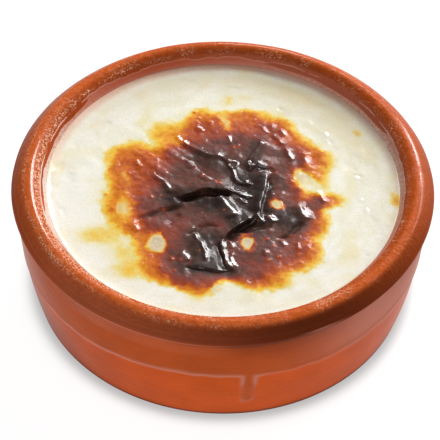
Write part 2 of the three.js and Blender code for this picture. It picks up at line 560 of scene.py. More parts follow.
def finish_surface(sketch: Sketch, inputs: dict) -> None:
    """Ends a material with a Principled BSDF that has these inputs."""
    shader = sketch.add("BsdfPrincipled", {"subsurface_method": "RANDOM_WALK"}, inputs)
    sketch.add("OutputMaterial", None, {"Surface": shader.outputs[0]})


@dataclass(frozen=True)
class GlazedClay:
    """Red clay under a clear honey-brown glaze. Scales are in waves for each metre."""

    bare: Colour = paint(192, 77, 20)  # below the glaze's edge
    glazed: Colour = paint(172, 73, 25)  # above it
    pooled_and_shade: Colour = paint(102, 42, 20)  # where the glaze has pooled, painted shade, and dark specks
    worn: Colour = paint(220, 104, 46)  # on the crest of the lip
    pale: Colour = paint(238, 180, 146)  # rubbed specks on the lip
    milky_and_sheen: Colour = paint(190, 118, 98)  # thick edge of the glaze; it also paints a highlight line and sheens on the outside
    cloud_scale: float = 90.0
    worn_scale: float = 700.0
    stipple_scale: float = 1700.0  # of the rubbed specks
    cluster_scale: float = 190.0  # of the clusters that they stand in
    speck_scale: float = 260.0
    gloss_weight: float = 0.72
    grain_depth: float = 0.00016  # metres

    def build(self, effects: Effects) -> bpy.types.Material:
        """Mixes the colours by the dish's marks.

        Bare clay and glaze are mixed by the glaze mark and made cloudy. The worn colour, the colour of
        pooled glaze and painted shade, the rubbed specks in their clusters, dark specks and the milky
        colour, which also paints a highlight line and sheens, follow in this order. The gloss mark gives
        the weight of a wet coat, and the grainy one the grain's height.

        Args:
            effects: the shared node groups.

        Returns:
            The material.
        """
        material, sketch = new_material("glazed clay")
        colour = sketch.blend(sketch.mark("glaze"), self.bare, self.glazed)
        cloud = sketch.grain(self.cloud_scale, 4.0)
        colour = sketch.shade(colour, sketch.maths("MULTIPLY_ADD", cloud, 0.5, 0.75))
        patchy = sketch.maths("MULTIPLY", sketch.grain(self.worn_scale, 2.0), 1.6)
        mark = sketch.mark("rubbed")
        stipple = sketch.maths("MULTIPLY_ADD_CLAMPED", sketch.grain(self.stipple_scale, 2.0, 0.7), 6.0, -3.0)
        cluster = sketch.maths("MULTIPLY_ADD", sketch.grain(self.cluster_scale, 3.0), 4.0, -1.9)
        cluster = sketch.maths("MULTIPLY_ADD_CLAMPED", mark, 0.3, cluster)
        rubbed = sketch.maths("MULTIPLY", sketch.maths("MULTIPLY", stipple, mark), cluster)
        specks = effects.speck_mask(sketch, self.speck_scale, 0.1, 0.12)
        colour = sketch.cover(colour, (
            (sketch.maths("MULTIPLY_CLAMPED", sketch.mark("worn"), patchy), self.worn),
            (sketch.mark("pool_and_shade"), self.pooled_and_shade),
            (sketch.maths("MULTIPLY_CLAMPED", rubbed, 0.8), self.pale),
            (sketch.maths("MULTIPLY", specks, 0.5), self.pooled_and_shade),
            (sketch.mark("milk"), self.milky_and_sheen),
        ))
        finish_surface(sketch, {
            "Base Color": colour,
            "Roughness": 0.3,
            "IOR": 1.3,
            "Specular IOR Level": 0.07,
            "Coat Weight": sketch.maths("MULTIPLY_CLAMPED", sketch.mark("gloss"), self.gloss_weight),
            "Coat Roughness": 0.08,
            "Normal": effects.bump(sketch, 600.0, 1300.0, self.grain_depth, sketch.mark("grainy")),
        })
        return material


@dataclass(frozen=True)
class MilkSkin:
    """Baked milk skin: cream, and browned through yellow and orange to purple brown and black.

    Scales are in waves for each metre.
    """

    cream: Colour = paint(246, 242, 220)
    milk: Colour = paint(254, 252, 239)  # white wisps and streaks in the cream, and painted light at its left
    shaded: Colour = paint(190, 168, 114)  # at the back
    blush: Colour = paint(233, 173, 146)  # along the wall at the back
    pale_yellow: Colour = paint(246, 226, 142)
    yellow: Colour = paint(250, 200, 60)
    orange: Colour = paint(234, 142, 24)
    burnt_orange: Colour = paint(200, 92, 26)
    red_brown: Colour = paint(162, 67, 35)
    purple_red: Colour = paint(136, 65, 50)
    purple_brown: Colour = paint(106, 61, 52)
    dark: Colour = paint(78, 49, 40)
    black: Colour = paint(42, 25, 19)
    bare: Colour = paint(218, 194, 164)  # in the pale spots
    mottle_scale: float = 420.0
    wisp_scale: float = 110.0
    fibre_scale: float = 700.0
    blot_scale: float = 330.0
    pit_scale: float = 700.0
    shade_scale: float = 1500.0
    grain_depth: float = 0.00008  # metres

    def build(self, effects: Effects) -> bpy.types.Material:
        """Runs the browning mark, made uneven by noise, through a colour ramp, and tints the result.

        The marks white, bare, dim and blush mix in milk, bare, shaded and blush in this order. Orange
        blots, dark pits and a fine shade follow. The gleam mark gives the weight of a wet coat.

        Args:
            effects: the shared node groups.

        Returns:
            The material.
        """
        material, sketch = new_material("milk skin")
        browning = sketch.mark("browning")
        browned = sketch.maths("MULTIPLY_CLAMPED", browning, 4.0)
        mottle = sketch.maths("MULTIPLY_ADD", sketch.grain(self.mottle_scale, 4.0, 0.65), 0.34, -0.16)
        level = sketch.maths("MULTIPLY_ADD_CLAMPED", mottle, browned, browning)
        colour = sketch.ramp(level, {
            0.0: self.cream,
            0.08: self.pale_yellow,
            0.18: self.yellow,
            0.3: self.orange,
            0.42: self.burnt_orange,
            0.53: self.red_brown,
            0.64: self.purple_red,
            0.75: self.purple_brown,
            0.87: self.dark,
            1.0: self.black,
        })
        plain = sketch.maths("MULTIPLY_ADD_CLAMPED", browning, -12.0, 1.0)
        wisps = sketch.maths("MULTIPLY_ADD_CLAMPED", sketch.grain(self.wisp_scale, 4.0, 0.5, 1.0), 3.0, -1.1)
        white = sketch.maths("ADD_CLAMPED", wisps, sketch.mark("white"))
        fibres = sketch.maths("MULTIPLY_ADD", sketch.grain(self.fibre_scale, 3.0, 0.7, 0.6), 2.4, -0.2)
        blots = sketch.maths("MULTIPLY", effects.speck_mask(sketch, self.blot_scale, 0.15, 0.35), browned)
        pits = sketch.maths("MULTIPLY", effects.speck_mask(sketch, self.pit_scale, 0.22, 0.3), browned)
        colour = sketch.cover(colour, (
            (sketch.maths("MULTIPLY", white, plain), self.milk),
            (sketch.maths("MULTIPLY_CLAMPED", sketch.mark("bare"), fibres), self.bare),
            (sketch.mark("dim"), self.shaded),
            (sketch.mark("blush"), self.blush),
            (sketch.maths("MULTIPLY", blots, 0.6), self.burnt_orange),
            (sketch.maths("MULTIPLY", pits, 0.45), self.purple_brown),
        ))
        shade = sketch.maths("MULTIPLY_ADD", sketch.grain(self.shade_scale, 2.0), 0.24, 0.88)
        rough = sketch.maths("MULTIPLY_ADD", browned, 0.85, 0.15)
        finish_surface(sketch, {
            "Base Color": sketch.shade(colour, shade),
            "Roughness": 0.42,
            "IOR": 1.42,
            "Specular IOR Level": 0.15,
            "Subsurface Weight": 0.08,
            "Subsurface Radius": (1.0, 0.8, 0.5),
            "Subsurface Scale": 0.0012,
            "Coat Weight": sketch.maths("ADD_CLAMPED", sketch.mark("gleam"), 0.08),
            "Coat Roughness": 0.08,
            "Coat IOR": 1.65,
            "Normal": effects.bump(sketch, 800.0, 2200.0, self.grain_depth, rough),
        })
        return material


@dataclass(frozen=True)
class MilkFilmFinish:
    """Thin dried milk over red clay."""

    thick: Colour = paint(238, 226, 212)
    thin: Colour = paint(200, 85, 42)
    speck_scale: float = 1500.0  # waves for each metre
    grain_depth: float = 0.00015  # metres

    def build(self, effects: Effects) -> bpy.types.Material:
        """Mixes from thin to thick by the milk mark, with specks.

        The share is milk plus noise times milk squared times (1 - milk), so that the specks stand
        where the film is neither bare nor solid.

        Args:
            effects: the shared node groups.

        Returns:
            The material.
        """
        material, sketch = new_material("milk film")
        milk = sketch.mark("milk")
        noise = sketch.maths("MULTIPLY_ADD", sketch.grain(self.speck_scale, 3.0, 0.7), 14.0, -7.0)
        missing = sketch.maths("MULTIPLY_ADD", milk, -1.0, 1.0)
        patchy = sketch.maths("MULTIPLY", sketch.maths("MULTIPLY", missing, milk), milk)
        share = sketch.maths("MULTIPLY_ADD_CLAMPED", noise, patchy, milk)
        finish_surface(sketch, {
            "Base Color": sketch.blend(share, self.thin, self.thick),
            "Roughness": 0.4,
            "Specular IOR Level": 0.12,
            "Normal": effects.bump(sketch, 600.0, 2000.0, self.grain_depth),
        })
        return material


# ---- The dish ----
@dataclass(frozen=True)
class Surface:
    """The dish's plain surface. The turn is one row, and what follows it is one column each."""

    turn: Values  # degrees anticlockwise from +X
    radius: Values
    height: Values
    outward: Values  # the section's unit normal
    upward: Values
    inset: Values  # distance inside the widest ring
    below: Values  # distance below the lip's crest

    @property
    def top(self) -> Values:
        """True on the upper part of the lip."""
        return self.below < 2.6

    @property
    def outer(self) -> Values:
        """True on the outside."""
        return self.outward > 0.3

    @property
    def wall(self) -> Values:
        """1 on the outer wall, and down to 0 at the foot and under the lip."""
        return ease(self.height, 1.0, 3.0) * ease(self.height, 36.0, 35.0) * self.outer


@dataclass(frozen=True)
class Chip:
    """A small pit where glaze has broken off the lip."""

    turn: float  # degrees anticlockwise from +X
    radius: float  # place on the section, mm from the axis
    size: float
    depth: float = 0.25

    def pit(self, on: Surface) -> Values:
        """Depth on the dish: a bell curve of the distance, only on the lip."""
        along = np.radians(around(on.turn, self.turn)) * self.radius
        across = np.abs(on.radius - self.radius) + 9.0 * (on.below > 3)
        return self.depth * bell(np.hypot(along, across), self.size)


@dataclass(frozen=True)
class Ring:
    """A ring on the lip, all round or near one turn."""

    inset: float  # distance inside the widest ring
    width: float
    strength: float = 1.0
    turn: float = 0.0  # degrees anticlockwise from +X
    spread: float = math.inf  # degrees
    reach: float = 2.6  # how far below the crest it may lie

    def share(self, on: Surface) -> Values:
        """Strength times the bell curves of the inset and of the turn."""
        ring = bell(on.inset - self.inset, self.width) * near(on.turn, self.turn, self.spread)
        return self.strength * ring * (on.below < self.reach)


GROOVES = (Ring(2.7, 0.25, 0.04), Ring(4.1, 0.2, 0.04), Ring(6.7, 0.3, 0.04))  # turned in the lip, mm deep
RUBBED_ALL_ROUND = (Ring(6.4, 1.6, 0.5), Ring(3.6, 0.7, 0.5), Ring(7.5, 0.5))
RUBBED_PLACES = (
    Ring(5.4, 1.3, 2.0, -58, 7),
    Ring(7.3, 0.9, 2.2, -163, 36, 3.3),
    # three thin lines at the back, and the inner side there
    Ring(2.1, 0.18, 1.2, 125, 50),
    Ring(2.8, 0.15, 1.2, 125, 50),
    Ring(3.7, 0.15, 0.84, 125, 50),
    Ring(6.0, 0.8, 0.6, 90, 60),
)


@dataclass
class ClayDish:
    """The turned clay dish with its rolled lip and its glaze, which ends in a wavy edge with one drip."""

    name: str = "clay_dish"
    diameter: float = 120.0
    height: float = 40.8
    base_diameter: float = 108.6
    neck_diameter: float = 117.0
    neck_height: float = 34.6
    foot_rounding: float = 1.2
    floor_thickness: float = 7.0
    bore_radius: float = 50.1
    level: float = 36.1  # of the pudding
    places: int = 590
    glaze_edge: float = 20.2  # mean height of the glaze's lower edge
    glaze_thickness: float = 0.14
    glaze_ridge: float = 0.8  # how much thicker it is at its edge
    drip_turn: float = -81.7
    drip_bottom: float = 8.0
    drip_radius: float = 2.1
    throwing_depth: float = 0.012  # of the fine lines round the wall
    fill_heights: tuple[float, float] = (30.5, 36.9)  # of the clay that fills the neck at the front left
    fill_radius: float = 58.45  # at its lower end
    fill_share: float = 0.85
    # the lip's section, from the neck inwards: distances inside the widest ring and below the crest
    lip: Plan = (
        (1.3, 5.4), (0.4, 4.6), (0, 3.9), (0.9, 2.7), (2.1, 1.5), (3.2, 0.6), (3.9, 0.22), (4.7, 0.04),
        (5.3, 0), (5.9, 0.15), (6.6, 0.48), (7.5, 0.95), (7.9, 1.4), (8.25, 2.2),
    )
    chips: tuple[Chip, ...] = (
        Chip(-80.0, 56.3, 0.9),
        Chip(-70.5, 55.0, 0.7),
        Chip(4.0, 56.5, 0.8),
        Chip(-97.0, 56.2, 0.6),
    )
    uneven: Fields = (Unevenness(34.0, 0.22, 11), Unevenness(9.0, 0.05, 12))  # as hands leave it
    waver: Unevenness = Unevenness(3.5, 0.4, 13)  # of the glaze's edge

    def wall_radius(self, height: Values) -> Values:
        """Radius of the wall: a parabola from the base, steepest there and upright at the neck."""
        left = 1 - height / self.neck_height
        return (self.base_diameter + (self.neck_diameter - self.base_diameter) * (1 - left * left)) / 2

    def lip_knots(self) -> Values:
        """The points that the rolled lip's section passes through, from the neck to the pudding's edge.

        Returns:
            Rows of radius and height.
        """
        widest, crest = self.diameter / 2, self.height
        return np.array([
            (self.neck_diameter / 2, self.neck_height),
            *((widest - inset, crest - below) for inset, below in self.lip),
            (self.bore_radius + 0.5, self.level + 0.9),
            (self.bore_radius, self.level - 0.6),
        ])

    def section(self) -> Values:
        """The whole section, from the middle of the base up the outside and down the inside.

        The foot is a quarter turn of an ellipse, the wall a parabola, and the lip and the inside are
        smooth lines.

        Returns:
            Rows of radius and height.
        """
        middle = 4.0  # radius of the first and last ring
        base_edge = self.base_diameter / 2 - self.foot_rounding
        quarter = np.linspace(0, math.pi / 2, 6)[1:-1]
        foot_radius = self.wall_radius(np.array(self.foot_rounding))
        foot = np.stack([
            base_edge + (foot_radius - base_edge) * np.sin(quarter),
            self.foot_rounding * (1 - np.cos(quarter)),
        ], axis=1)
        heights = np.linspace(self.foot_rounding, self.neck_height, 66)[:-1]
        wall = np.stack([self.wall_radius(heights), heights], axis=1)
        base = np.stack([np.linspace(middle, base_edge, 4), np.zeros(4)], axis=1)
        lip = smooth_line(self.lip_knots(), 80)
        inside = smooth_line((
            (self.bore_radius + 0.2, 28.0),
            (self.bore_radius - 0.7, 17.0),
            (self.bore_radius - 3.0, self.floor_thickness + 3.0),
            (self.bore_radius - 7.1, self.floor_thickness),
            (middle, self.floor_thickness),
        ), 10)
        return np.vstack([base, foot, wall, lip, inside])

    def surface(self, section: Values, angle: Values) -> Surface:
        """The plain surface of a section, whose normal is its slope turned by a right angle.

        Args:
            section: rows of radius and height.
            angle: the angle of each place round the dish, in radians.

        Returns:
            The surface.
        """
        slope = np.gradient(section, axis=0)
        normal = np.stack([slope[:, 1], -slope[:, 0]], axis=1)
        normal /= np.linalg.norm(normal, axis=1)[:, None]
        radius, height = section[:, :1], section[:, 1:]
        inset, below = self.diameter / 2 - radius, self.height - height
        return Surface(np.degrees(angle)[None, :], radius, height, normal[:, :1], normal[:, 1:], inset, below)

    def glaze_depth(self, turn: Values, height: Values) -> Values:
        """How far inside the glazed part the wall lies, in mm: negative below the glaze's edge.

        The edge is a mean height with three slow waves. The drip is an upright bar with a round end.
        The two depths are joined by the smooth maximum k log(exp(a / k) + exp(b / k)).

        Args:
            turn: degrees anticlockwise from +X.
            height: mm above the base.

        Returns:
            The depth at each height and turn.
        """
        angle = np.radians(turn)
        waves = 1.1 * np.sin(angle + 2.4) + 0.5 * np.sin(3 * angle + 0.5) + 0.35 * np.sin(7 * angle + 1.1)
        above = height - self.glaze_edge - waves
        along = np.radians(around(turn, self.drip_turn)) * self.neck_diameter / 2
        below = np.minimum(0, height - self.drip_bottom - self.drip_radius)
        drip = self.drip_radius - np.hypot(along, below)
        join = 0.4
        return join * np.logaddexp(above / join, drip / join)

    def relief(self, on: Surface, points: Values) -> Values:
        """Height of the clay's own relief: unevenness, throwing lines on the wall, grooves and chips.

        A throwing line is a sine of the height, with waves of uneven length.

        Args:
            on: the plain surface.
            points: its rings, places and x, y, z.

        Returns:
            The height along the normal.
        """
        outside = ease(np.arange(len(points)), 6, 12)[:, None] * ease(on.outward + on.upward, -0.6, 0.2)
        lines = self.throwing_depth * np.sin(on.height * 2.9 + 0.8 * np.sin(on.height * 0.7))
        dug = sum(groove.share(on) for groove in GROOVES) + sum(chip.pit(on) for chip in self.chips)
        return outside * together(self.uneven, points) + on.wall * lines - dug

    def filled(self, turn: Values) -> Values:
        """Where the neck under the lip is filled with clay: 1 at the front left."""
        return ease(around(turn, -142), 0, 20) * ease(around(turn, -90), 8, -8)

    def filling(self, on: Surface) -> Values:
        """How far the fill brings the neck out towards a straight line up to the widest ring.

        Args:
            on: the plain surface.

        Returns:
            The move along the radius.
        """
        low, high = self.fill_heights
        straight = np.interp(on.height, self.fill_heights, (self.fill_radius, self.diameter / 2))
        neck = (on.height > low) * (on.height < high) * (on.radius > 57)
        return self.fill_share * np.maximum(0, straight - on.radius) * neck * self.filled(on.turn)

    def pool_and_shade(self, on: Surface) -> Values:
        """Where the glaze is thick, and where shade is painted.

        It is thick glaze in a band round the lip, darkened in front as painted shade on the side away
        from the lights. Painted shade also fades out under the lip, and lies in a seam at the neck, along
        the foot, low on the left and at the back, and on the lip's inner side.

        Args:
            on: the plain surface.

        Returns:
            The mark from 0 to 1.
        """
        # painted shade is strongest in front, on the side away from the lights behind the dish
        front, filled = near(on.turn, -64, 46), 0.8 * self.filled(on.turn)
        band = ease(on.height, 34.4, 35.2) * ease(on.radius, 55.8, 57.6) * (0.1 + 0.9 * front)
        band = band * (1 - filled * ease(on.height, 37.6, 34.6))
        under = 0.6 * bell(on.height - self.neck_height, 4.2) * on.wall * front * (1 - filled)
        seam = 0.9 * bell(on.height - 34.9, 0.3) * (on.radius > 57) * front
        seam = seam * ease(around(on.turn, -86), -3, 3)
        # painted shade along the foot, low on the left and on the back of the wall
        foot = 0.8 * ease(on.height, 2.6, 1.0) * on.outer
        left = 0.5 * near(on.turn, -155, 30) * on.wall * ease(on.height, 24, 10)
        back = 0.38 * on.wall * ease(np.abs(around(on.turn, -95)), 80, 130)
        # painted shade on the lip's inner side at the back
        inner_side = Ring(7.1, 0.9, 0.45, 95, 75).share(on)
        return np.clip(band + under + seam + foot + left + back + inner_side, 0, 1)

    def milk(self, on: Surface, ridge: Values) -> Values:
        """Milky glaze at its thick edge and inner side, and a painted highlight and sheens on the outside.

        Args:
            on: the plain surface.
            ridge: where the glaze's edge is thick.

        Returns:
            The mark from 0 to 1.
        """
        left_of_drip = 0.15 + 0.6 * ease(around(on.turn, -76), 4, -4) * ease(around(on.turn, -150), 0, 12)
        beside_drip = ease(on.height, 18.5, 15.5) * ease(on.height, 9, 11)
        edge = ridge * on.wall * left_of_drip * (1 - 0.65 * beside_drip)
        # painted highlight: a thin bright line under the lip at the front right
        line = 0.9 * bell(on.height - 37.1, 0.2) * (on.radius > 58) * near(on.turn, -62, 5)
        # painted reflection: a pale sheen high on the wall at the front right
        front = 0.68 * near(on.turn, -44, 17) * on.wall * ease(on.height, 17, 26)
        inner_side = 0.5 * near(on.turn, 50, 55) * ease(on.radius, 52.9, 51.7) * (on.height > 35.5)
        # painted sheen on the lip's outer face at the front left
        lip = 0.22 * near(on.turn, -128, 28) * ease(on.height, 34.5, 36) * ease(on.radius, 55, 58)
        return np.clip(edge + line + front + inner_side + lip, 0, 1)

    def rubbed(self, on: Surface) -> Values:
        """Where the lip is rubbed: rings all round, stronger at the left, and a few places."""
        rings = sum(ring.share(on) for ring in RUBBED_ALL_ROUND) * (1 + 3 * near(on.turn, -150, 50))
        return rings + sum(ring.share(on) for ring in RUBBED_PLACES)

    def gloss(self, on: Surface) -> Values:
        """The wet line on the crest, a little further in at the left, and absent in front."""
        line = bell(on.inset - 4.8 + np.cos(np.radians(on.turn)), 0.38) * on.top
        return line * ease(np.abs(around(on.turn, -95)), 45, 70) * (1 - 0.7 * near(on.turn, 88, 45))

    def build(self) -> bpy.types.Object:
        """Builds the dish: the turned section with its relief and its glaze, and the filled neck.

        Returns:
            The dish's object with the marks glaze, worn, rubbed, pool, milk, gloss and grainy.
        """
        section = self.section()
        angle = turn_angles(self.places, self.drip_turn, 4.0, 3.5)
        on, points = self.surface(section, angle), turned(section, angle)
        depth = self.glaze_depth(on.turn, on.height) + self.waver.at(points)
        faint = 1 - 0.6 * near(on.turn, self.drip_turn, 3.5) * ease(on.height, 20, 13)
        glaze, ridge = ease(depth, -0.25, 0.35), bell(depth - 0.35, 0.7)
        coat = on.wall * self.glaze_thickness * faint * (glaze + self.glaze_ridge * ridge)
        move = self.relief(on, points) + coat
        radius = on.radius + on.outward * move + self.filling(on)
        section = np.stack(np.broadcast_arrays(radius, on.height + on.upward * move), axis=-1)
        # painted shade: the lighter worn colour of the crest is held back at the right and at the back
        painted_crest_shade = 0.45 * near(on.turn, 5, 45) + 0.38 * near(on.turn, 85, 40)
        return ring_mesh(self.name, turned(section, angle), Ends.POINTS, {
            "glaze": np.where(on.wall > 0, glaze, 1.0),
            "worn": Ring(4.6, 2.6).share(on) * (1 - painted_crest_shade),
            "rubbed": self.rubbed(on),
            "pool_and_shade": self.pool_and_shade(on),
            "milk": self.milk(on, ridge * faint),
            "gloss": self.gloss(on),
            "grainy": 0.5 + 1.2 * on.top,
        })

    def bore(self, height: Values) -> Values:
        """Radius of the inside above the pudding's edge, read off the lip's section.

        Args:
            height: mm above the base.

        Returns:
            The radius at each height.
        """
        lip = smooth_line(self.lip_knots(), 200)
        inner = lip[lip[:, 0].argmax():]
        inner = inner[inner[:, 1].argmax():][::-1]
        return np.interp(height, inner[:, 1], inner[:, 0])

    def dress(self, piece: bpy.types.Object, material: bpy.types.Material) -> None:
        """Gives the dish its finish and puts it in the place of the CAD dish."""
        piece.data.materials.append(material)
        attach(piece, "root")
        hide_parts("dish")


# ---- The pudding ----
@dataclass(frozen=True)
class Fold:
    """A fold along a smooth line: the skin rises to a lip, and drops off on the line's right-hand side."""

    line: Plan
    rise: float
    drop: float
    slope: float  # width of the rise
    hollow: float  # width of the hollow beyond the drop
    lip: float = 0.8  # width of the drop
    hang: float = 0.35  # how far the lip hangs over the hollow
    shine: float = 0.3  # how wet its crest looks

    def height(self, place: Place) -> Values:
        """Height beside the line: a bell up to the lip, a smooth step down, and a bell back to level.

        Args:
            place: where the points lie beside the line.

        Returns:
            The height at each point.
        """
        fallen = ease(place.distance, 0, self.lip)
        beyond = np.maximum(0, place.distance - self.lip)
        high = self.rise * np.where(place.distance < 0, bell(place.distance, self.slope), 1 - fallen)
        return fade(place.along) * (high - self.drop * fallen * bell(beyond, self.hollow))

    def shift(self, place: Place) -> Values:
        """Sideways move of the lip towards its hollow: a narrow bell about the line."""
        push = fade(place.along) * self.hang * bell(place.distance + 0.2, 0.6)
        return push[:, None] * place.towards

    def gleam(self, place: Place) -> Values:
        """How wet the skin looks beside the line: a narrow bell on the lip."""
        return self.shine * fade(place.along) * bell(place.distance - 0.1, 0.4)


@dataclass(frozen=True)
class Crease:
    """A narrow groove along a smooth line."""

    line: Plan
    depth: float
    width: float

    def height(self, place: Place) -> Values:
        """Height beside the line: minus a bell of its depth and width."""
        return -fade(place.along) * self.depth * bell(place.distance, self.width)


@dataclass(frozen=True)
class Blister:
    """A low rounded hill."""

    patch: Patch
    height: float


@dataclass(frozen=True)
class Browned:
    """A round part of the browned skin, which is yellow at its edge and orange further in."""

    patch: Patch
    fringe: float  # mm over which it comes to 63% of its full tone
    most: float = 1.0
    halo: float = 0.38  # mm over which its edge is soft

    def tone(self, plan: Values) -> Values:
        """Tone at plan points: most times (1 - exp(-inside / fringe)).

        The part's edge is soft: inside is halo x log(1 + exp(depth / halo)), which is near the depth
        well inside and near 0 well outside.
        """
        inside = self.halo * np.logaddexp(0, self.patch.depth(plan) / self.halo)
        return self.most * (1 - np.exp(-inside / self.fringe))


@dataclass(frozen=True)
class Toasted:
    """A darker part of the skin with a soft edge."""

    patch: Patch
    softness: float  # mm that its edge takes on either side
    most: float = 1.0

    def tone(self, plan: Values) -> Values:
        """Tone at plan points: most times a smooth step across the patch's edge."""
        return self.most * ease(self.patch.depth(plan), -self.softness, self.softness)


@dataclass(frozen=True)
class Bare:
    """A pale spot in the browned skin."""

    patch: Patch
    most: float = 1.0
    softness: float = 0.85  # mm that its edge takes on either side


def joined(parts: tuple[Browned | Toasted, ...], plan: Values) -> Values:
    """Tones of several parts together: 1 minus the product of what each leaves, 1 - tone."""
    return 1 - np.prod([1 - part.tone(plan) for part in parts], axis=0)


@dataclass(frozen=True)
class Wrinkle:
    """A thin roll of skin along a smooth line."""

    line: Plan
    height: float
    width: float
    shine: float = 1.0  # how wet it looks

    def rise(self, place: Place) -> Values:
        """Height beside the line: a bell of its height and width."""
        return fade(place.along, 0.15) * self.height * bell(place.distance, self.width)

    def gleam(self, place: Place) -> Values:
        """How wet the skin looks beside the line: a bell on the crest and both its flanks."""
        return self.shine * fade(place.along, 0.15) * bell(place.distance, 1.4 * self.width + 0.2)


def fade(along: Values, taper: float = 0.2) -> Values:
    """1 along a line, and down to 0 at both its ends."""
    return ease(along, 0, taper) * ease(1 - along, 0, taper)


FOLDS = (
    # upper ridge, from the back left down to the middle
    Fold(((-13, 18.7), (-9, 15.4), (-3, 12.7), (0.6, 10.8)), 0.3, 0.2, 4, 4.5, lip=1.6, hang=0.2),
    Fold(
        ((-2, 12.3), (0.6, 10.8), (2.6, 7.2), (4.5, 2.8), (8.5, 1.5)),
        0.05, 0.2, 3, 3, lip=1.2, hang=0.3, shine=0.1,
    ),
    # second ridge, steep towards the back
    Fold(((-0.8, 0.4), (-3.5, 2.6), (-6, 4.6), (-9, 7.8), (-12.5, 10.5)), 0.4, 0.3, 4, 3, lip=1.2),
    # ridge of the left lobe
    Fold(((-19.5, 4.5), (-17.3, 2), (-15.5, -0.8), (-14, -3.7)), 0.3, 0.15, 5, 4, lip=1.6, hang=0.1),
    # lip over the long black crevice left of the middle
    Fold(((-14.3, -4), (-11, -3), (-7, -1.3), (-3, -0.9), (1.5, -0.8), (3.4, -1.4)), 0.5, 1.7, 3.5, 1.9),
    # its thin end on the right
    Fold(((0.5, -0.6), (3.5, -1.1), (6, -2.6), (8.8, -3.6)), 0.12, 0.2, 2, 3),
    # near bank of the same crevice
    Fold(((3, -3.2), (-1, -4.3), (-6, -5.6), (-10.8, -6.8), (-13.5, -5)), 0.3, 0.2, 2.5, 1),
    # long sharp ridge right of the middle, which hooks round to the front
    Fold(
        ((0, -21.5), (0.3, -19.5), (2, -16.8), (5.5, -14), (8, -12.4), (10, -11)),
        0.4, 1.6, 3, 2.4, hang=0.5,
    ),
    Fold(
        ((9.5, -11.5), (10.8, -8.7), (10.6, -4.5), (11.6, 0), (12.7, 4.5), (13.3, 7.8)),
        0.6, 0.6, 2.5, 1.8, shine=1,
    ),
    # near bank of the crevice under that ridge
    Fold(((14.7, -14.3), (13, -16.2), (9, -18), (5, -17.6), (1.5, -18.7)), 0.3, 0.3, 2.5, 1),
    # edge of the hill to the right of the long ridge
    Fold(((15.7, 6.6), (14.5, 5), (14.3, 1.5), (14.7, -1.5)), 0.2, 0.2, 4, 1.2),
    # lip of the lobe at the back right
    Fold(((11.5, 19.3), (10, 15.5), (8.6, 12.3), (7.3, 10)), 0.25, 0.15, 4, 3, lip=0.9),
    Fold(((7.3, 10), (7.9, 8), (9.8, 9.4), (12.3, 8.8), (15, 7.6)), 0.3, 0.2, 3, 2, shine=0.6),
    # far side of the same lobe
    Fold(((15, 21), (17.3, 18), (18.7, 14.5), (20.5, 10.8)), 0.12, 0.1, 3, 4, lip=1.4, hang=0.1, shine=0.15),
    # right lip and lower lip of the black bump in front
    Fold(((-0.3, -20.5), (0.6, -24), (1.3, -27.5), (1.6, -29.8), (3.6, -31.2)), 0.15, 0.6, 4, 1.3),
    Fold(((-10, -30.6), (-5, -31.6), (0, -31.8), (4, -31)), 0.3, 0.25, 3, 3.5, lip=1.0),
)

CREASES = (
    Crease(((-11.4, -7.6), (-15, -9.4), (-19.5, -11.2), (-22.6, -12.8), (-24.8, -16)), 0.75, 0.8),
    Crease(((-11.5, -11), (-13.5, -13), (-15.2, -16)), 0.3, 0.8),
    Crease(((23, -13.5), (20.5, -15.5), (18.5, -18.5), (15.8, -20)), 0.6, 0.8),
    Crease(((-10, -19.8), (-8, -18), (-6, -15.8), (-3, -15.2), (-0.5, -16.2)), 0.5, 0.7),
)

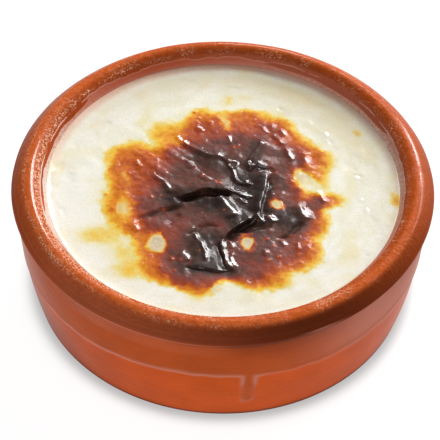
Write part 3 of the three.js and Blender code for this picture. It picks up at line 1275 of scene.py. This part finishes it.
WRINKLES = tuple(Wrinkle(*row) for row in (
    # streak on the black knob in the middle
    (((-1.4, -3.4), (0.7, -6.8), (3.0, -12.8)), 0.55, 1.7),
    # crest of the black bump in front
    (((-7.9, -17.5), (-6.2, -21), (-4.7, -24.5), (-3.9, -27.5), (-3.8, -29.8)), 0.3, 0.65, 0.7),
    (((-11, -25.8), (-10, -27.5), (-9.2, -29.5)), 0.33, 1.0),
    # right lip of the bump
    (((-0.3, -20), (0.7, -22.6), (1.0, -25), (1.5, -28), (2.8, -31.6)), 0.3, 0.65, 0.8),
    (((1.6, -20.5), (2.8, -22), (2.9, -24.4)), 0.25, 0.6),
    (((3.2, -25.6), (2.9, -28.5), (4.3, -31)), 0.2, 0.4),
    # crest of the long ridge in front
    (((0.0, -20.8), (1.8, -17.2), (5.3, -14.3), (9.3, -11.7), (10.4, -9.4)), 0.25, 0.45),
    # bright knob at the hook of the long ridge
    (((9.6, -10.0), (10.6, -12.0), (12.0, -14.4)), 0.42, 1.2),
    (((12.9, -10.6), (13.6, -12.2), (14.6, -14.2)), 0.36, 1.0),
    # thin end of the lip of the long crevice
    (((0.8, -0.5), (3, -0.9), (4.9, -1.9), (8.6, -3.8)), 0.2, 0.5),
    (((4.9, -3.6), (5.5, -4.8), (6.2, -6.2)), 0.3, 0.7),
    # end of the upper ridge, with its loop
    (((1.3, 9.8), (2.6, 7.2), (4.6, 3.6), (6.8, 1.9), (9.2, 1.4)), 0.2, 0.35),
    (((6.6, 3.4), (7.2, 2.3), (8, 1.2)), 0.25, 0.6),
    (((0.3, 11), (2, 10.6), (3.6, 10.2), (3.9, 8.8), (3.0, 6.4)), 0.2, 0.4),
    # crest of the upper ridge
    (((-14.6, 20), (-12.6, 18), (-10.6, 16.2)), 0.3, 0.9),
    (((-11.4, 17), (-6.5, 14.3), (-2.2, 12.4), (0.6, 11)), 0.2, 0.6),
    # crests of the left lobe
    (((-10.6, 9.6), (-9.8, 8.2), (-8.8, 6.8)), 0.35, 1.1),
    (((-6.6, 6), (-5.2, 3.8), (-3.2, 1.6)), 0.3, 0.9),
    (((-25.8, 10.4), (-25.1, 8.8), (-24.6, 7)), 0.25, 0.8, 0.6),
    (((-20.4, 6.2), (-18.4, 2.6), (-16.4, -0.4), (-15.2, -3.6)), 0.25, 0.7),
    (((-25.2, -15.6), (-24.6, -17), (-23.6, -18.8)), 0.3, 0.9, 0.5),
    (((-9, 23.6), (-7.2, 22.8), (-6.4, 21.4)), 0.25, 0.8, 0.6),
    # streaks on the back lobe
    (((1.0, 20.8), (1.5, 19), (1.9, 16.6)), 0.12, 0.7, 0.5),
    (((9.6, 25.6), (11.2, 24), (12.2, 22)), 0.15, 0.7, 0.4),
    # crests at the back right
    (((11.2, 19), (9.7, 15.5), (8.3, 12.3), (7.1, 10)), 0.35, 0.5),
    (((7.0, 10.4), (7.4, 9), (8.2, 7.4)), 0.35, 0.9),
    (((8.2, 8), (9.8, 9.6), (11.4, 9), (12.8, 8.2)), 0.25, 0.6),
    (((14.2, 22.2), (15.4, 20), (17, 16.8)), 0.24, 0.75, 0.4),
    (((17.6, 16.4), (18.8, 13.6), (20, 10.6)), 0.24, 0.75, 0.5),
    (((16.3, 24.4), (17.2, 22.4), (17.9, 20.6)), 0.2, 0.6, 0.4),
    (((23.2, 15), (23.9, 11.8), (23.5, 8)), 0.35, 1.2, 0.35),
    # hill right of the long ridge
    (((13.9, 3), (13.4, -0.6), (14.2, -3.4)), 0.25, 0.7),
    (((13.7, 6.4), (13.8, 5.2), (13.6, 4)), 0.2, 0.4),
    # dark bump on the right
    (((20.3, -5.4), (22, -8.8), (24.2, -13)), 0.45, 1.8, 0.35),
    (((26.6, -0.4), (27.8, -3), (29.2, -5.4)), 0.25, 0.7, 0.5),
    # small ones in front on the right
    (((12.2, -23.6), (12.3, -25), (12.2, -26.4)), 0.25, 0.6, 0.6),
    (((17, -20), (17.4, -21.6), (17.2, -23)), 0.2, 0.6, 0.4),
    (((20.6, -21), (21, -22.6), (20.8, -24)), 0.2, 0.6, 0.4),
))

GLINTS = (
    # wet, rippled places of the cream at the right, the left and the back
    Patch(39, 5.5, 2.6, 1.2, -50),
    Patch(47, 0.7, 1.5, 0.8, 90),
    Patch(41.3, -8.5, 5.2, 1.2, -65),
    Patch(44, -19.5, 5.0, 1.2, 92),
    Patch(40.2, -25.5, 1.8, 0.9, 90),
    Patch(-42, 14.8, 2.0, 1.2, -50),
    Patch(-43.5, 1.5, 4.5, 1.6, -75),
    Patch(-45.4, -10.8, 2.5, 1.2, -70),
    Patch(-11, 43.5, 2.5, 1.0, -15),
    Patch(3.5, 41.2, 2.5, 0.8, -10),
    Patch(17.5, 31, 4.0, 1.0, -50),
    Patch(30, 21, 3.5, 1.0, -60),
    Patch(-34, 25, 2.5, 1.2, 40),
)

BLISTERS = tuple(Blister(Patch(*oval), *rest) for oval, *rest in (
    ((-17, 7, 9, 6, -35), 0.3),  # left lobe
    ((3, 21, 11, 6, -10), 0.3),  # back lobe
    ((14, 14, 5, 5), 0.12),  # back right lobe
    ((18, -13, 4, 4), 0.3),  # bump on the right
    ((1, -8.5, 4.5, 5), 0.3),  # black knob in the middle
    ((-6, -24, 7.5, 3.6, 100), 0.4),  # black bump in front
    ((-19, -15, 5.5, 3, -10), 0.3),  # lobe at the front left
    ((-8, -36, 9, 4.5, -12), 0.3),
    ((14, -28, 9, 7, 35), 0.3),
    ((-28, -6, 9, 4, 90), 0.2),
))

BROWNED = tuple(Browned(Patch(*oval), *rest) for oval, *rest in (
    # the middle, and its lobes clockwise from the left
    ((-1, -4, 24, 27), 2.6),
    ((-21.5, 3, 12.7, 13.6), 2.6),
    ((-22.5, -8, 11.8, 11.6), 2.6),
    ((-26.4, 9.5, 7.7, 8.4), 2.4),
    ((-15, 20.8, 7.6, 6.6), 5.0),
    ((-6, 22, 7.3, 9.7), 1.8),
    ((5, 22.1, 12.4, 10.2), 1.6),
    ((15, 20.7, 7.8, 8.5), 1.9),
    ((19.8, 15.8, 9.2, 7.2, -30), 2.2),
    ((23.3, 10, 8.7, 8), 2.1),
    ((18, -12, 12.3, 14), 1.7),
    ((28, -4.8, 6.2, 3.4), 1.2),
    ((17.3, -24.6, 11.2, 8.8), 1.6),
    ((10.4, -30.8, 9.4, 9.3), 2.0),
    ((-6.5, -32, 8, 10.3), 1.2),
    ((-14, -29, 10, 10), 1.8),
    ((-17.5, -22.5, 6.5, 5.5), 2.2),
    ((-21.8, -17, 7.4, 5.5), 1.6),
    ((2, -30, 6, 7), 1.5),
    ((28.5, 3, 3.0, 5), 2.0, 0.5),
    # faint stains out on the cream
    ((-35.5, -20.5, 4.5, 2.8), 3.0, 0.5, 1.2),
    ((-25.5, -32.5, 3.0, 3.0), 2.0, 0.55, 1.2),
    ((-27, -26, 4.0, 2.5), 2.0, 0.35, 1.2),
    ((-33.5, -8.5, 3.0, 5.0), 3.0, 0.14, 1.5),
    ((-30, -19, 4.0, 3.0), 2.5, 0.3, 1.5),
    ((33, 12, 3.0, 4.0), 3.0, 0.12, 1.5),
    ((17.5, -37, 2.5, 2.0), 2.0, 0.4),
    ((39.5, 23, 1.0, 0.8), 0.5, 0.6),
    ((0.5, 36, 2.2, 1.8), 2.0, 0.4),
    ((49, -4.5, 1.4, 2.6), 0.8, 0.9),
))

DARKENED = tuple(Toasted(Patch(*oval), *rest) for oval, *rest in (
    ((0, 0, 19, 16), 4.5),
    ((6.5, 13, 9.5, 6.5), 3.5),
    ((-5.5, 19.5, 6, 6.5), 2.5, 0.3),
    ((8, 19.5, 9, 4.5), 3.0, 0.2),
    ((-18, 4, 8, 9), 4.0, 0.15),
    ((14, 23, 4.5, 3.5), 2.0, 0.45),
    ((17.5, 6.5, 4, 4), 2.0, 0.6),
    ((19.3, 0.5, 3.6, 3.6), 2.0, 0.6),
    ((15, 12, 4, 4), 2.0, 0.5),
    ((4, -35, 8, 4), 2.5, 0.6),
    ((10, -28, 10, 6, 20), 3.0, 0.4),
    ((-3.5, 11.5, 8, 5.5, -20), 3.0),
    ((-13, 13, 6, 2.5, -30), 2.0),
    ((5, 17.5, 7, 3.5), 2.0, 0.7),
    ((18, 12, 5, 5), 2.5, 0.7),
    ((18, -12.5, 8, 8.5), 3.0),
    ((-15, -8, 9, 8.5), 3.5, 0.85),
    ((-9, -18, 5, 4.5), 2.5, 0.5),
    ((-16, -16.5, 5, 3.5, 20), 2.0, 0.4),
    ((21.5, 12, 3, 2.5), 1.5, 0.4),
    ((20, -23, 5, 4), 2.5, 0.35),
    ((8, -21, 9, 9.5), 4.0),
    ((-7, -27, 8.5, 11), 4.0),
    ((1, -32, 5, 4), 2.5),
    ((26, -6, 2.5, 2.0), 2.0),
))

SCORCHED_AND_SHADED = tuple(Toasted(Patch(*oval), *rest) for oval, *rest in (
    ((10.2, -3.5, 12.5, 3.2, 88), 1.8),
    ((6, 0, 7, 4, 88), 3.5, 0.85),
    ((7, -13.5, 8, 4.2, 50), 2.0),
    ((3, 6, 7.5, 3.5, -50), 2.0, 0.6),
    ((-5.5, 11, 5, 2.4, -25), 2.0, 0.5),
    ((9, 12.5, 5.5, 3.0, 75), 2.0, 0.7),
    ((15.5, 12, 3.4, 4.2), 1.6, 0.35),
    # painted shade: black in the crevice under the lip left of the middle
    ((-5, -3.4, 9.5, 2.8, 8), 1.6),
    ((-15, -5, 3.0, 5.0, 30), 2.0, 0.7),
    ((-2, -7, 5, 2.5), 2.5),
    # painted shade: black in the trough right of the bump in front
    ((-1.8, -24, 8, 3, 97), 1.6),
    ((-5.6, -23, 7.8, 4, 100), 2.0, 0.75),
    # painted shade: dark lines along two creases
    ((-18, -11, 7.4, 0.9, 29), 0.8, 0.5),
    ((19.5, -16.9, 5, 0.8, 42), 0.8, 0.5),
    ((3, -10, 4, 6), 2.0, 0.5),
    # painted shade: dark where the bump's lower lip drops off in front
    ((-2, -31.8, 7.5, 2.0), 1.6),
    ((18.5, -12, 5, 4), 2.0, 0.8),
    ((16, 4, 2, 3.5), 1.6, 0.7),
))

PALE_SPOTS = tuple(Bare(Patch(*oval), *rest) for oval, *rest in (
    ((24.6, 2.4, 6.3, 2.4, -54),),
    ((28, -1.5, 2.0, 1.4, -20), 0.7),
    ((15.7, -6.7, 2.6, 1.3, -55),),
    ((7.7, -22.2, 3.0, 1.6, 95),),
    ((-17.6, -22.9, 3.7, 2.6, 92),),
    ((-27.8, -9.5, 3.8, 1.7, 95), 0.75, 1.6),
    ((-27.5, 3.5, 3.0, 1.2, 95), 0.4, 1.4),
    ((0.3, 26, 3.4, 1.5, 95), 0.75, 1.3),
    ((0, -39.5, 2.2, 2.6, 90),),
    ((-26.6, -21.6, 2.4, 1.6, -40), 0.8),
))

BEADS = (
    (-29.5, -2), (-33, -4.5), (-31, -10), (-20, -4.5), (-16.5, -9), (-22.8, -13.7), (-11, -28.7),
    (-13.3, -28.3), (12.5, -20), (13, -25), (13, -28), (21.5, -25.7), (3, 16), (4.2, 16.4), (-2, 2),
    (-0.8, 1.4), (-6, 3.5), (-24, 7.5), (-18.5, 7.5), (-21, 12), (-27, 4), (8, 28), (-4.5, 26.5),
    (19.5, -18.3), (16.8, -19.8), (23.6, -20.6), (22.6, -28.6), (18.6, -30), (14.5, -22.4), (15.8, -26.8),
    (-9, 30), (-7.4, 27.6), (-27.5, -4), (-29.4, 0.6), (-12.5, -32.5), (-17, -31),
)


@dataclass
class BakedPudding:
    """The pudding up to its skin, with the skin's folds, creases and blisters, and marks for its colour."""

    name: str = "rice_pudding"
    level: float = 36.1
    bottom: float = 7.3  # just above the dish's floor
    edge_radius: float = 49.8
    buried_radius: float = 50.5  # where the skin ends inside the wall
    sink: float = 0.6
    meniscus_height: float = 0.4
    meniscus_width: float = 1.6
    ceiling: float = 1.3  # no fold stands further above the sunken skin
    folded_radius: float = 42.0
    bead_height: float = 0.16
    bead_width: float = 0.6
    places: int = 560
    lumps: Fields = (Unevenness(8.0, 0.10, 21), Unevenness(3.0, 0.06, 22))
    lumpy: Unevenness = Unevenness(13.0, 1.0, 28)  # where the lumps are
    ripple: Unevenness = Unevenness(1.35, 0.14, 23)  # where the cream glints
    crinkle: Fields = (Unevenness(3.2, 0.08, 24), Unevenness(1.4, 0.045, 25), Unevenness(0.8, 0.02, 34))
    bend: Fields = (Unevenness(4.0, 0.5, 35), Unevenness(1.7, 0.2, 36))  # of the folds
    # of the edges of what is browned
    wander: Fields = (Unevenness(5.0, 0.9, 26), Unevenness(1.8, 0.6, 27), Unevenness(0.8, 0.4, 30))
    clouds: Unevenness = Unevenness(6.0, 0.036, 29)  # yellowish clouds in the cream
    streaks: Fields = (Unevenness(3.4, 0.45, 41), Unevenness(1.5, 0.35, 42))  # white, round the cream
    sparkle: Unevenness = Unevenness(1.6, 1.0, 37)  # where the browned skin is wet
    dull: tuple[Patch, ...] = (Patch(3, 2.5, 4.5, 5), Patch(14.5, 12.5, 4, 4))  # less wet
    furrows: Unevenness = Unevenness(1.9, 0.14, 38)  # long ones that run to the front right
    furrow_turn: float = -42.0  # degrees
    furrow_squeeze: float = 0.22
    furrowed: Patch = Patch(-13, 8, 17, 11, -30)

    def skin_height(self, radius: Values) -> Values:
        """Height of the plain skin: a paraboloid sunk in the middle, pulled up against the wall."""
        sink = self.sink * (1 - (radius / self.edge_radius) ** 2)
        rise = self.meniscus_height * np.exp((radius - self.edge_radius) / self.meniscus_width)
        return self.level - sink + rise

    def moved(self, plan: Values, by: Fields) -> Values:
        """Plan points moved about by random fields, one for x and the same one further off for y."""
        return plan + np.stack([together(by, flat(plan) + far) for far in (0.0, 97.0)], axis=1)

    def browning(self, plan: Values) -> tuple[Values, Values]:
        """How browned the skin is, and where it is bare.

        A tone of 0 is cream, 0.2 yellow, 0.4 orange, 0.6 red brown, 0.75 purple brown and 1 black.

        The browned parts give the first 0.42, the darkened ones the next 0.33 and the scorched ones
        the last 0.25; a few scorched ones are painted shade in crevices, a trough and creases. The points
        are first moved about by the wander fields, so that the edges are ragged. The pale spots are
        brought down to 0.05 and the beads to 0.36. The cream is a little yellow in clouds.

        Args:
            plan: rows of x, y.

        Returns:
            The tone, and how bare the skin is from 0 to 1.
        """
        moved = self.moved(plan, self.wander)
        first = joined(BROWNED, moved)
        tone = 0.42 * first + first * (0.33 * joined(DARKENED, moved) + 0.25 * joined(SCORCHED_AND_SHADED, moved))
        bare = np.zeros(len(plan))
        for spot in PALE_SPOTS:
            inside = spot.patch.depth(moved)
            share = spot.most * ease(inside, -spot.softness, spot.softness)
            tone = tone * (1 - share) + np.minimum(tone, 0.05) * share
            bare = np.maximum(bare, spot.most * ease(inside, -0.2, 0.35 + spot.softness))
        for bead in BEADS:
            share = bell(np.hypot(*(plan - bead).T), 0.5)
            tone = tone * (1 - share) + 0.36 * share
        tone += (1 - first) * np.maximum(0, self.clouds.at(flat(plan)))
        return tone, 0.8 * bare * first

    def cream_tints(self, plan: Values) -> tuple[Values, Values, Values]:
        """How far the cream is dim at the back, pink with clay along the wall, and white.

        The white lies at the left, where it is painted light, and in streaks that run round the middle:
        a random field whose coordinates are the radius and the two of the same direction's point on a
        small circle.

        Args:
            plan: rows of x, y.

        Returns:
            The three marks.
        """
        circle = 9.0
        radius, turn = polar(plan)
        dim = 0.75 * near(turn, 55, 40) + 0.33 * near(turn, 118, 38)
        dim = dim * ease(radius, 30, 50) * (1 - ease(radius, 44.5, 48.5) * near(turn, 65, 50))
        blush = 0.85 * near(turn, 75, 60) + 0.35 * near(turn, 145, 28) + 0.2 * near(turn, 185, 30)
        # painted light: the cream is whiter towards the left
        white = ease(radius, 30, 42) * (1 - 0.6 * ease(radius, 44, 47)) * near(turn, 197, 50)
        angle = np.radians(turn)
        ringed = np.stack([radius, circle * np.cos(angle), circle * np.sin(angle)], axis=1)
        white += together(self.streaks, ringed) * ease(radius, 22, 34)
        return dim, blush * ease(radius, 47.2, 50.0), white

    def relief(self, plan: Values) -> tuple[Values, Values, Values]:
        """Height, sideways shift and shine of the skin from its folds, wrinkles, creases and beads.

        The furrows are a random field on plan points that are turned, and squeezed along the furrows.
        All of it fades out at the folded radius.

        Args:
            plan: rows of x, y.

        Returns:
            The height at each plan point, rows of the shift in x and y, and how wet it looks from 0 to 1.
        """
        height, shift, shine = np.zeros(len(plan)), np.zeros_like(plan), np.zeros(len(plan))
        plan = self.moved(plan, self.bend)
        rest = ease(self.folded_radius - polar(plan)[0], 0, 4)
        for fold in FOLDS:
            place = beside(plan, smooth_line(fold.line, 32))
            height += fold.height(place)
            shift += fold.shift(place)
            shine = np.maximum(shine, fold.gleam(place))
        for crease in CREASES:
            height += crease.height(beside(plan, smooth_line(crease.line, 24)))
        for wrinkle in WRINKLES:
            place = beside(plan, smooth_line(wrinkle.line, 24))
            height += wrinkle.rise(place)
            shine = np.maximum(shine, wrinkle.gleam(place))
        for blister in BLISTERS:
            height += blister.height * blister.patch.hill(plan)
        for bead in BEADS:
            height += self.bead_height * bell(np.hypot(*(plan - bead).T), self.bead_width)
        along, across = rotated(plan, self.furrow_turn)
        squeezed = flat(np.stack([self.furrow_squeeze * along, across], axis=1))
        height += self.furrows.at(squeezed) * self.furrowed.hill(plan)
        return rest * np.minimum(height, self.ceiling), rest[:, None] * shift, shine

    def wetness(self, top: Values, browned: Values, bare: Values, shine: Values) -> tuple[Values, Values]:
        """How wet the skin looks, and how rippled it is, both as shares.

        The cream glints in its patches and along the wall at the left. The shine of the relief and a
        faint one on all that is browned sparkle. The pale spots are wet and rippled too.

        Args:
            top: the skin's points.
            browned, bare, shine: how browned and bare they are, and how wet their relief is.

        Returns:
            The gleam and the ripples, one value of each for each point.
        """
        plan = top[:, :2]
        radius, turn = polar(plan)
        sparkle = ease(self.sparkle.at(top), 0.1, 0.5)
        glint = 1 - uncovered(GLINTS, plan)
        at_wall = 0.6 * bell(radius - 48.9, 1.0) * near(turn, 183, 38) * (0.2 + 0.8 * sparkle)
        gleam = shine * (0.65 + 0.5 * sparkle) + 0.2 * sparkle * browned
        gleam = gleam * uncovered(self.dull, plan, 0.8) + 0.9 * glint + at_wall + 0.5 * bare
        return np.clip(gleam, 0, 1), glint + 0.6 * at_wall + 0.8 * bare

    def build(self) -> bpy.types.Object:
        """Builds the pudding from its bottom up the side and in over the skin to the middle.

        The skin's height has the relief, and the lumps, ripples and crinkles up to near the wall. It
        is crinkled where it is browned, most of all where the browning is about 0.38.

        Returns:
            The pudding's object with the marks browning, bare, dim, blush, white and gleam.
        """
        body = smooth_line((
            (4.0, self.bottom),
            (42.7, self.bottom),
            (46.8, self.bottom + 3.0),
            (49.1, 17.0),
            (50.0, 28.0),
            (self.buried_radius, self.level - 1.6),
        ), 10)
        outer = np.linspace(self.buried_radius, self.folded_radius, 17)
        radii = np.concatenate([outer, np.linspace(self.folded_radius, 0.4, 142)[1:]])
        skin = np.stack([radii, self.skin_height(radii)], axis=1)
        rings = turned(np.vstack([body, skin]), turn_angles(self.places))
        top = rings[len(body):].reshape(-1, 3)
        plan = top[:, :2].copy()
        browning, bare = self.browning(plan)
        browned = np.minimum(1, 2 * browning)
        height, shift, shine = self.relief(plan)
        gleam, rippled = self.wetness(top, browned, bare, shine)
        lumps = ease(self.lumpy.at(top), -0.5, 0.5) * together(self.lumps, top)
        ripples = rippled * self.ripple.at(top)
        crinkled = browned * (1 + bell(browning - 0.38, 0.2)) * together(self.crinkle, top)
        edge = ease(self.edge_radius - polar(plan)[0], 0, 1.5)
        top[:, 2] += height + edge * (lumps + ripples + crinkled)
        top[:, :2] += shift
        rings[len(body):] = top.reshape(len(skin), self.places, 3)
        dim, blush, white = self.cream_tints(plan)
        fields = {
            "browning": browning, "bare": bare, "dim": dim, "blush": blush, "white": white, "gleam": gleam,
        }
        below = np.zeros((len(body), self.places))
        marks = {mark: np.vstack([below, value.reshape(len(skin), -1)]) for mark, value in fields.items()}
        return ring_mesh(self.name, rings, Ends.POINTS, marks)

    def dress(self, piece: bpy.types.Object, material: bpy.types.Material) -> None:
        """Gives the pudding its finish and puts it in the place of the CAD pudding."""
        piece.data.materials.append(material)
        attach(piece, "root")
        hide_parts("pudding")


@dataclass
class MilkFilm:
    """The thin ring of dried milk that the pudding has left on the wall above its edge."""

    name: str = "milk_film"
    low: float = 35.7
    high: float = 38.7
    thickness: float = 0.16
    bead: float = 0.03  # how much thicker it is near its edge
    sunk: float = 0.3  # how far its back lies in the wall
    places: int = 720
    steps: int = 20
    circle: float = 50.0  # radius on which its ragged edge is drawn
    ragged: Fields = (Unevenness(9.0, 0.4, 31), Unevenness(2.4, 0.25, 32), Unevenness(0.9, 0.12, 33))

    def milk(self, turn: Values, height: Values, bead: Values) -> Values:
        """How milky the film is: at the pudding, less so at the back, on its bead, and left and right.

        Args:
            turn: degrees anticlockwise from +X.
            height: mm above the base.
            bead: 1 on the bead near the edge.

        Returns:
            The mark from 0 to 1.
        """
        sides = 0.66 * near(turn, 188, 38) + 0.34 * near(turn, 5, 30)
        strength = 0.4 - 0.22 * near(turn, 105, 38)
        width = 0.8 + 1.4 * near(turn, 60, 50)
        return np.clip(sides + 0.15 * bead + strength * bell(height - self.low - 0.4, width), 0, 1)

    def build(self, dish: ClayDish) -> bpy.types.Object:
        """Builds the film as a closed ring: down the front of the film and up its back in the wall.

        With t from 0 at the pudding to 1 at the ragged edge, its thickness is the full one times
        (1 - t), and a narrow bead near the edge.

        Args:
            dish: the dish whose wall it lies on.

        Returns:
            The film's object with the mark milk.
        """
        angle = turn_angles(self.places)
        turn = np.degrees(angle)
        edge = flat(self.circle * np.stack([np.cos(angle), np.sin(angle)], axis=1))
        top = self.high + 0.4 * near(turn, 188, 38) + together(self.ragged, edge)
        t = np.linspace(0, 1, self.steps)[:, None]
        height = self.low + (top - self.low) * t
        bead = bell(t - 0.93, 0.06)
        wall = dish.bore(height)
        front = np.stack([wall - self.thickness * (1 - t) - self.bead * bead, height], axis=-1)
        back = np.stack([wall + self.sunk, height], axis=-1)
        rings = turned(np.vstack([front[::-1], back]), angle)
        milk = self.milk(turn, height, bead)
        return ring_mesh(self.name, rings, Ends.JOINED, {"milk": np.vstack([milk[::-1], milk])})

    def dress(self, piece: bpy.types.Object, material: bpy.types.Material) -> None:
        """Gives the film its finish."""
        piece.data.materials.append(material)
        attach(piece, "root")


# ---- Floor, light and camera ----
@dataclass(frozen=True)
class Softbox:
    """A square white area light that looks at the dish's lip."""

    name: str
    azimuth: float  # degrees anticlockwise from +X
    elevation: float
    distance: float  # metres
    size: float
    power: float
    aim: float = 0.04  # height that it looks at, in metres

    def place(self) -> None:
        """Puts the light on its sphere round the lip, turned inwards."""
        turn, rise = math.radians(self.azimuth), math.radians(self.elevation)
        way = Vector((math.cos(turn) * math.cos(rise), math.sin(turn) * math.cos(rise), math.sin(rise)))
        light = bpy.data.lights.new(self.name, "AREA")
        light.shape, light.size, light.energy = "SQUARE", self.size, self.power
        lamp = in_scene(self.name, light)
        lamp.location = way * self.distance + Vector((0, 0, self.aim))
        lamp.rotation_euler = way.to_track_quat("Z", "Y").to_euler()


@dataclass
class Studio:
    """The pale floor, the soft lights and the camera at the photo's viewing angle."""

    elevation: float = 46.69  # degrees of the camera above the table
    distance: float = 600.0  # mm from the camera to its target
    scale: float = 3.45  # pixels for each mm at the target
    roll: float = 1.53  # degrees
    target: tuple[float, float, float] = (-0.57, 0.0, 21.77)
    image_width: float = 440.0
    sensor: float = 36.0
    floor_half: float = 2.5  # metres
    floor_colours: tuple[Colour, Colour] = (paint(118, 118, 118), paint(124, 124, 124))
    floor_glow: float = 0.93
    shade: float = 0.5  # how far the glow is down at the dish's foot
    shade_radius: float = 0.0543  # metres from the middle
    shade_width: float = 0.003
    surround: float = 0.2  # strength of the even light from all sides
    lights: tuple[Softbox, ...] = field(default_factory=lambda: (
        Softbox("key_behind_right", 68, 34, 1.1, 0.4, 9.2),
        Softbox("key_behind", 86, 21, 1.2, 0.2, 2.2),
        Softbox("low_window_right", 45, 20, 1.2, 0.7, 7.5),
        Softbox("fill_in_front", -98, 22, 1.3, 1.0, 5.4),
    ))

    def build_camera(self) -> None:
        """Places the camera on its line of sight and makes it the scene's camera.

        The line rises from the target by the elevation towards -Y. The picture's right and up are
        turned by the roll, and the lens is scale x distance x sensor / image width.
        """
        rise, roll = math.radians(self.elevation), math.radians(self.roll)
        back = Vector((0, -math.cos(rise), math.sin(rise)))
        right = Vector((1, 0, 0))
        up = back.cross(right)
        rolled_right = right * math.cos(roll) + up * math.sin(roll)
        rolled_up = up * math.cos(roll) - right * math.sin(roll)
        data = bpy.data.cameras.new("camera")
        data.sensor_width = self.sensor
        data.lens = self.scale * self.distance * self.sensor / self.image_width
        data.clip_start = 0.01
        camera = in_scene("camera", data)
        columns = Matrix((rolled_right, rolled_up, back)).transposed().to_4x4()
        columns.translation = (Vector(self.target) + back * self.distance) * MM
        camera.matrix_world = columns
        bpy.context.scene.camera = camera

    def build_floor(self) -> None:
        """A large pale floor just under the dish, faded to white with no edge in view.

        Its glow is lower close round the foot, where nothing lights it: 1 - shade x the bell curve of
        the distance beyond the foot.
        """
        half = self.floor_half
        mesh = bpy.data.meshes.new("floor")
        corners = [(-half, -half, 0), (half, -half, 0), (half, half, 0), (-half, half, 0)]
        mesh.from_pydata(corners, [], [(0, 1, 2, 3)])
        material, sketch = new_material("pale floor")
        middle = sketch.add("VectorMath", {"operation": "LENGTH"}, {0: sketch.where()}).outputs["Value"]
        out = sketch.maths("DIVIDE", sketch.maths("SUBTRACT", middle, self.shade_radius), self.shade_width)
        out = sketch.maths("MAXIMUM", out, 0.0)
        shade = sketch.maths("EXPONENT", sketch.maths("MULTIPLY", sketch.maths("MULTIPLY", out, out), -1.0))
        glow = sketch.maths("MULTIPLY_ADD", shade, -self.shade * self.floor_glow, self.floor_glow)
        finish_surface(sketch, {
            "Base Color": sketch.blend(sketch.grain(3.0, 2.0), *self.floor_colours),
            "Roughness": 0.9,
            "Emission Color": sketch.grey(glow),
            "Emission Strength": 1.0,
        })
        mesh.materials.append(material)
        floor = in_scene("floor", mesh)

    def build_world(self) -> None:
        """A dim even surround, and colours shown as they are."""
        world = bpy.data.worlds.new("surround")
        world.use_nodes = True
        sketch = Sketch(world.node_tree)
        background = sketch.add("Background", None, {"Color": (1, 1, 1, 1), "Strength": self.surround})
        sketch.add("OutputWorld", None, {"Surface": background.outputs[0]})
        scene = bpy.context.scene
        scene.world = world
        scene.view_settings.view_transform = "Standard"

    def build(self) -> None:
        """Builds floor, surround, lights and camera."""
        self.build_camera()
        self.build_floor()
        self.build_world()
        for light in self.lights:
            light.place()


def main() -> None:
    """Builds the studio and the three pieces, and reports each."""
    logging.basicConfig(level=logging.INFO, format="%(name)s: %(message)s")
    Studio().build()
    effects = Effects(build_speck_group(), build_texture_group())
    dish, pudding, film = ClayDish(), BakedPudding(), MilkFilm()
    dish_piece = dish.build()
    dish.dress(dish_piece, GlazedClay().build(effects))
    pudding_piece = pudding.build()
    pudding.dress(pudding_piece, MilkSkin().build(effects))
    film_piece = film.build(dish)
    film.dress(film_piece, MilkFilmFinish().build(effects))
    for piece in (dish_piece, pudding_piece, film_piece):
        log.info("%s: %d faces", piece.name, len(piece.data.polygons))


if __name__ == "__main__":
    main()
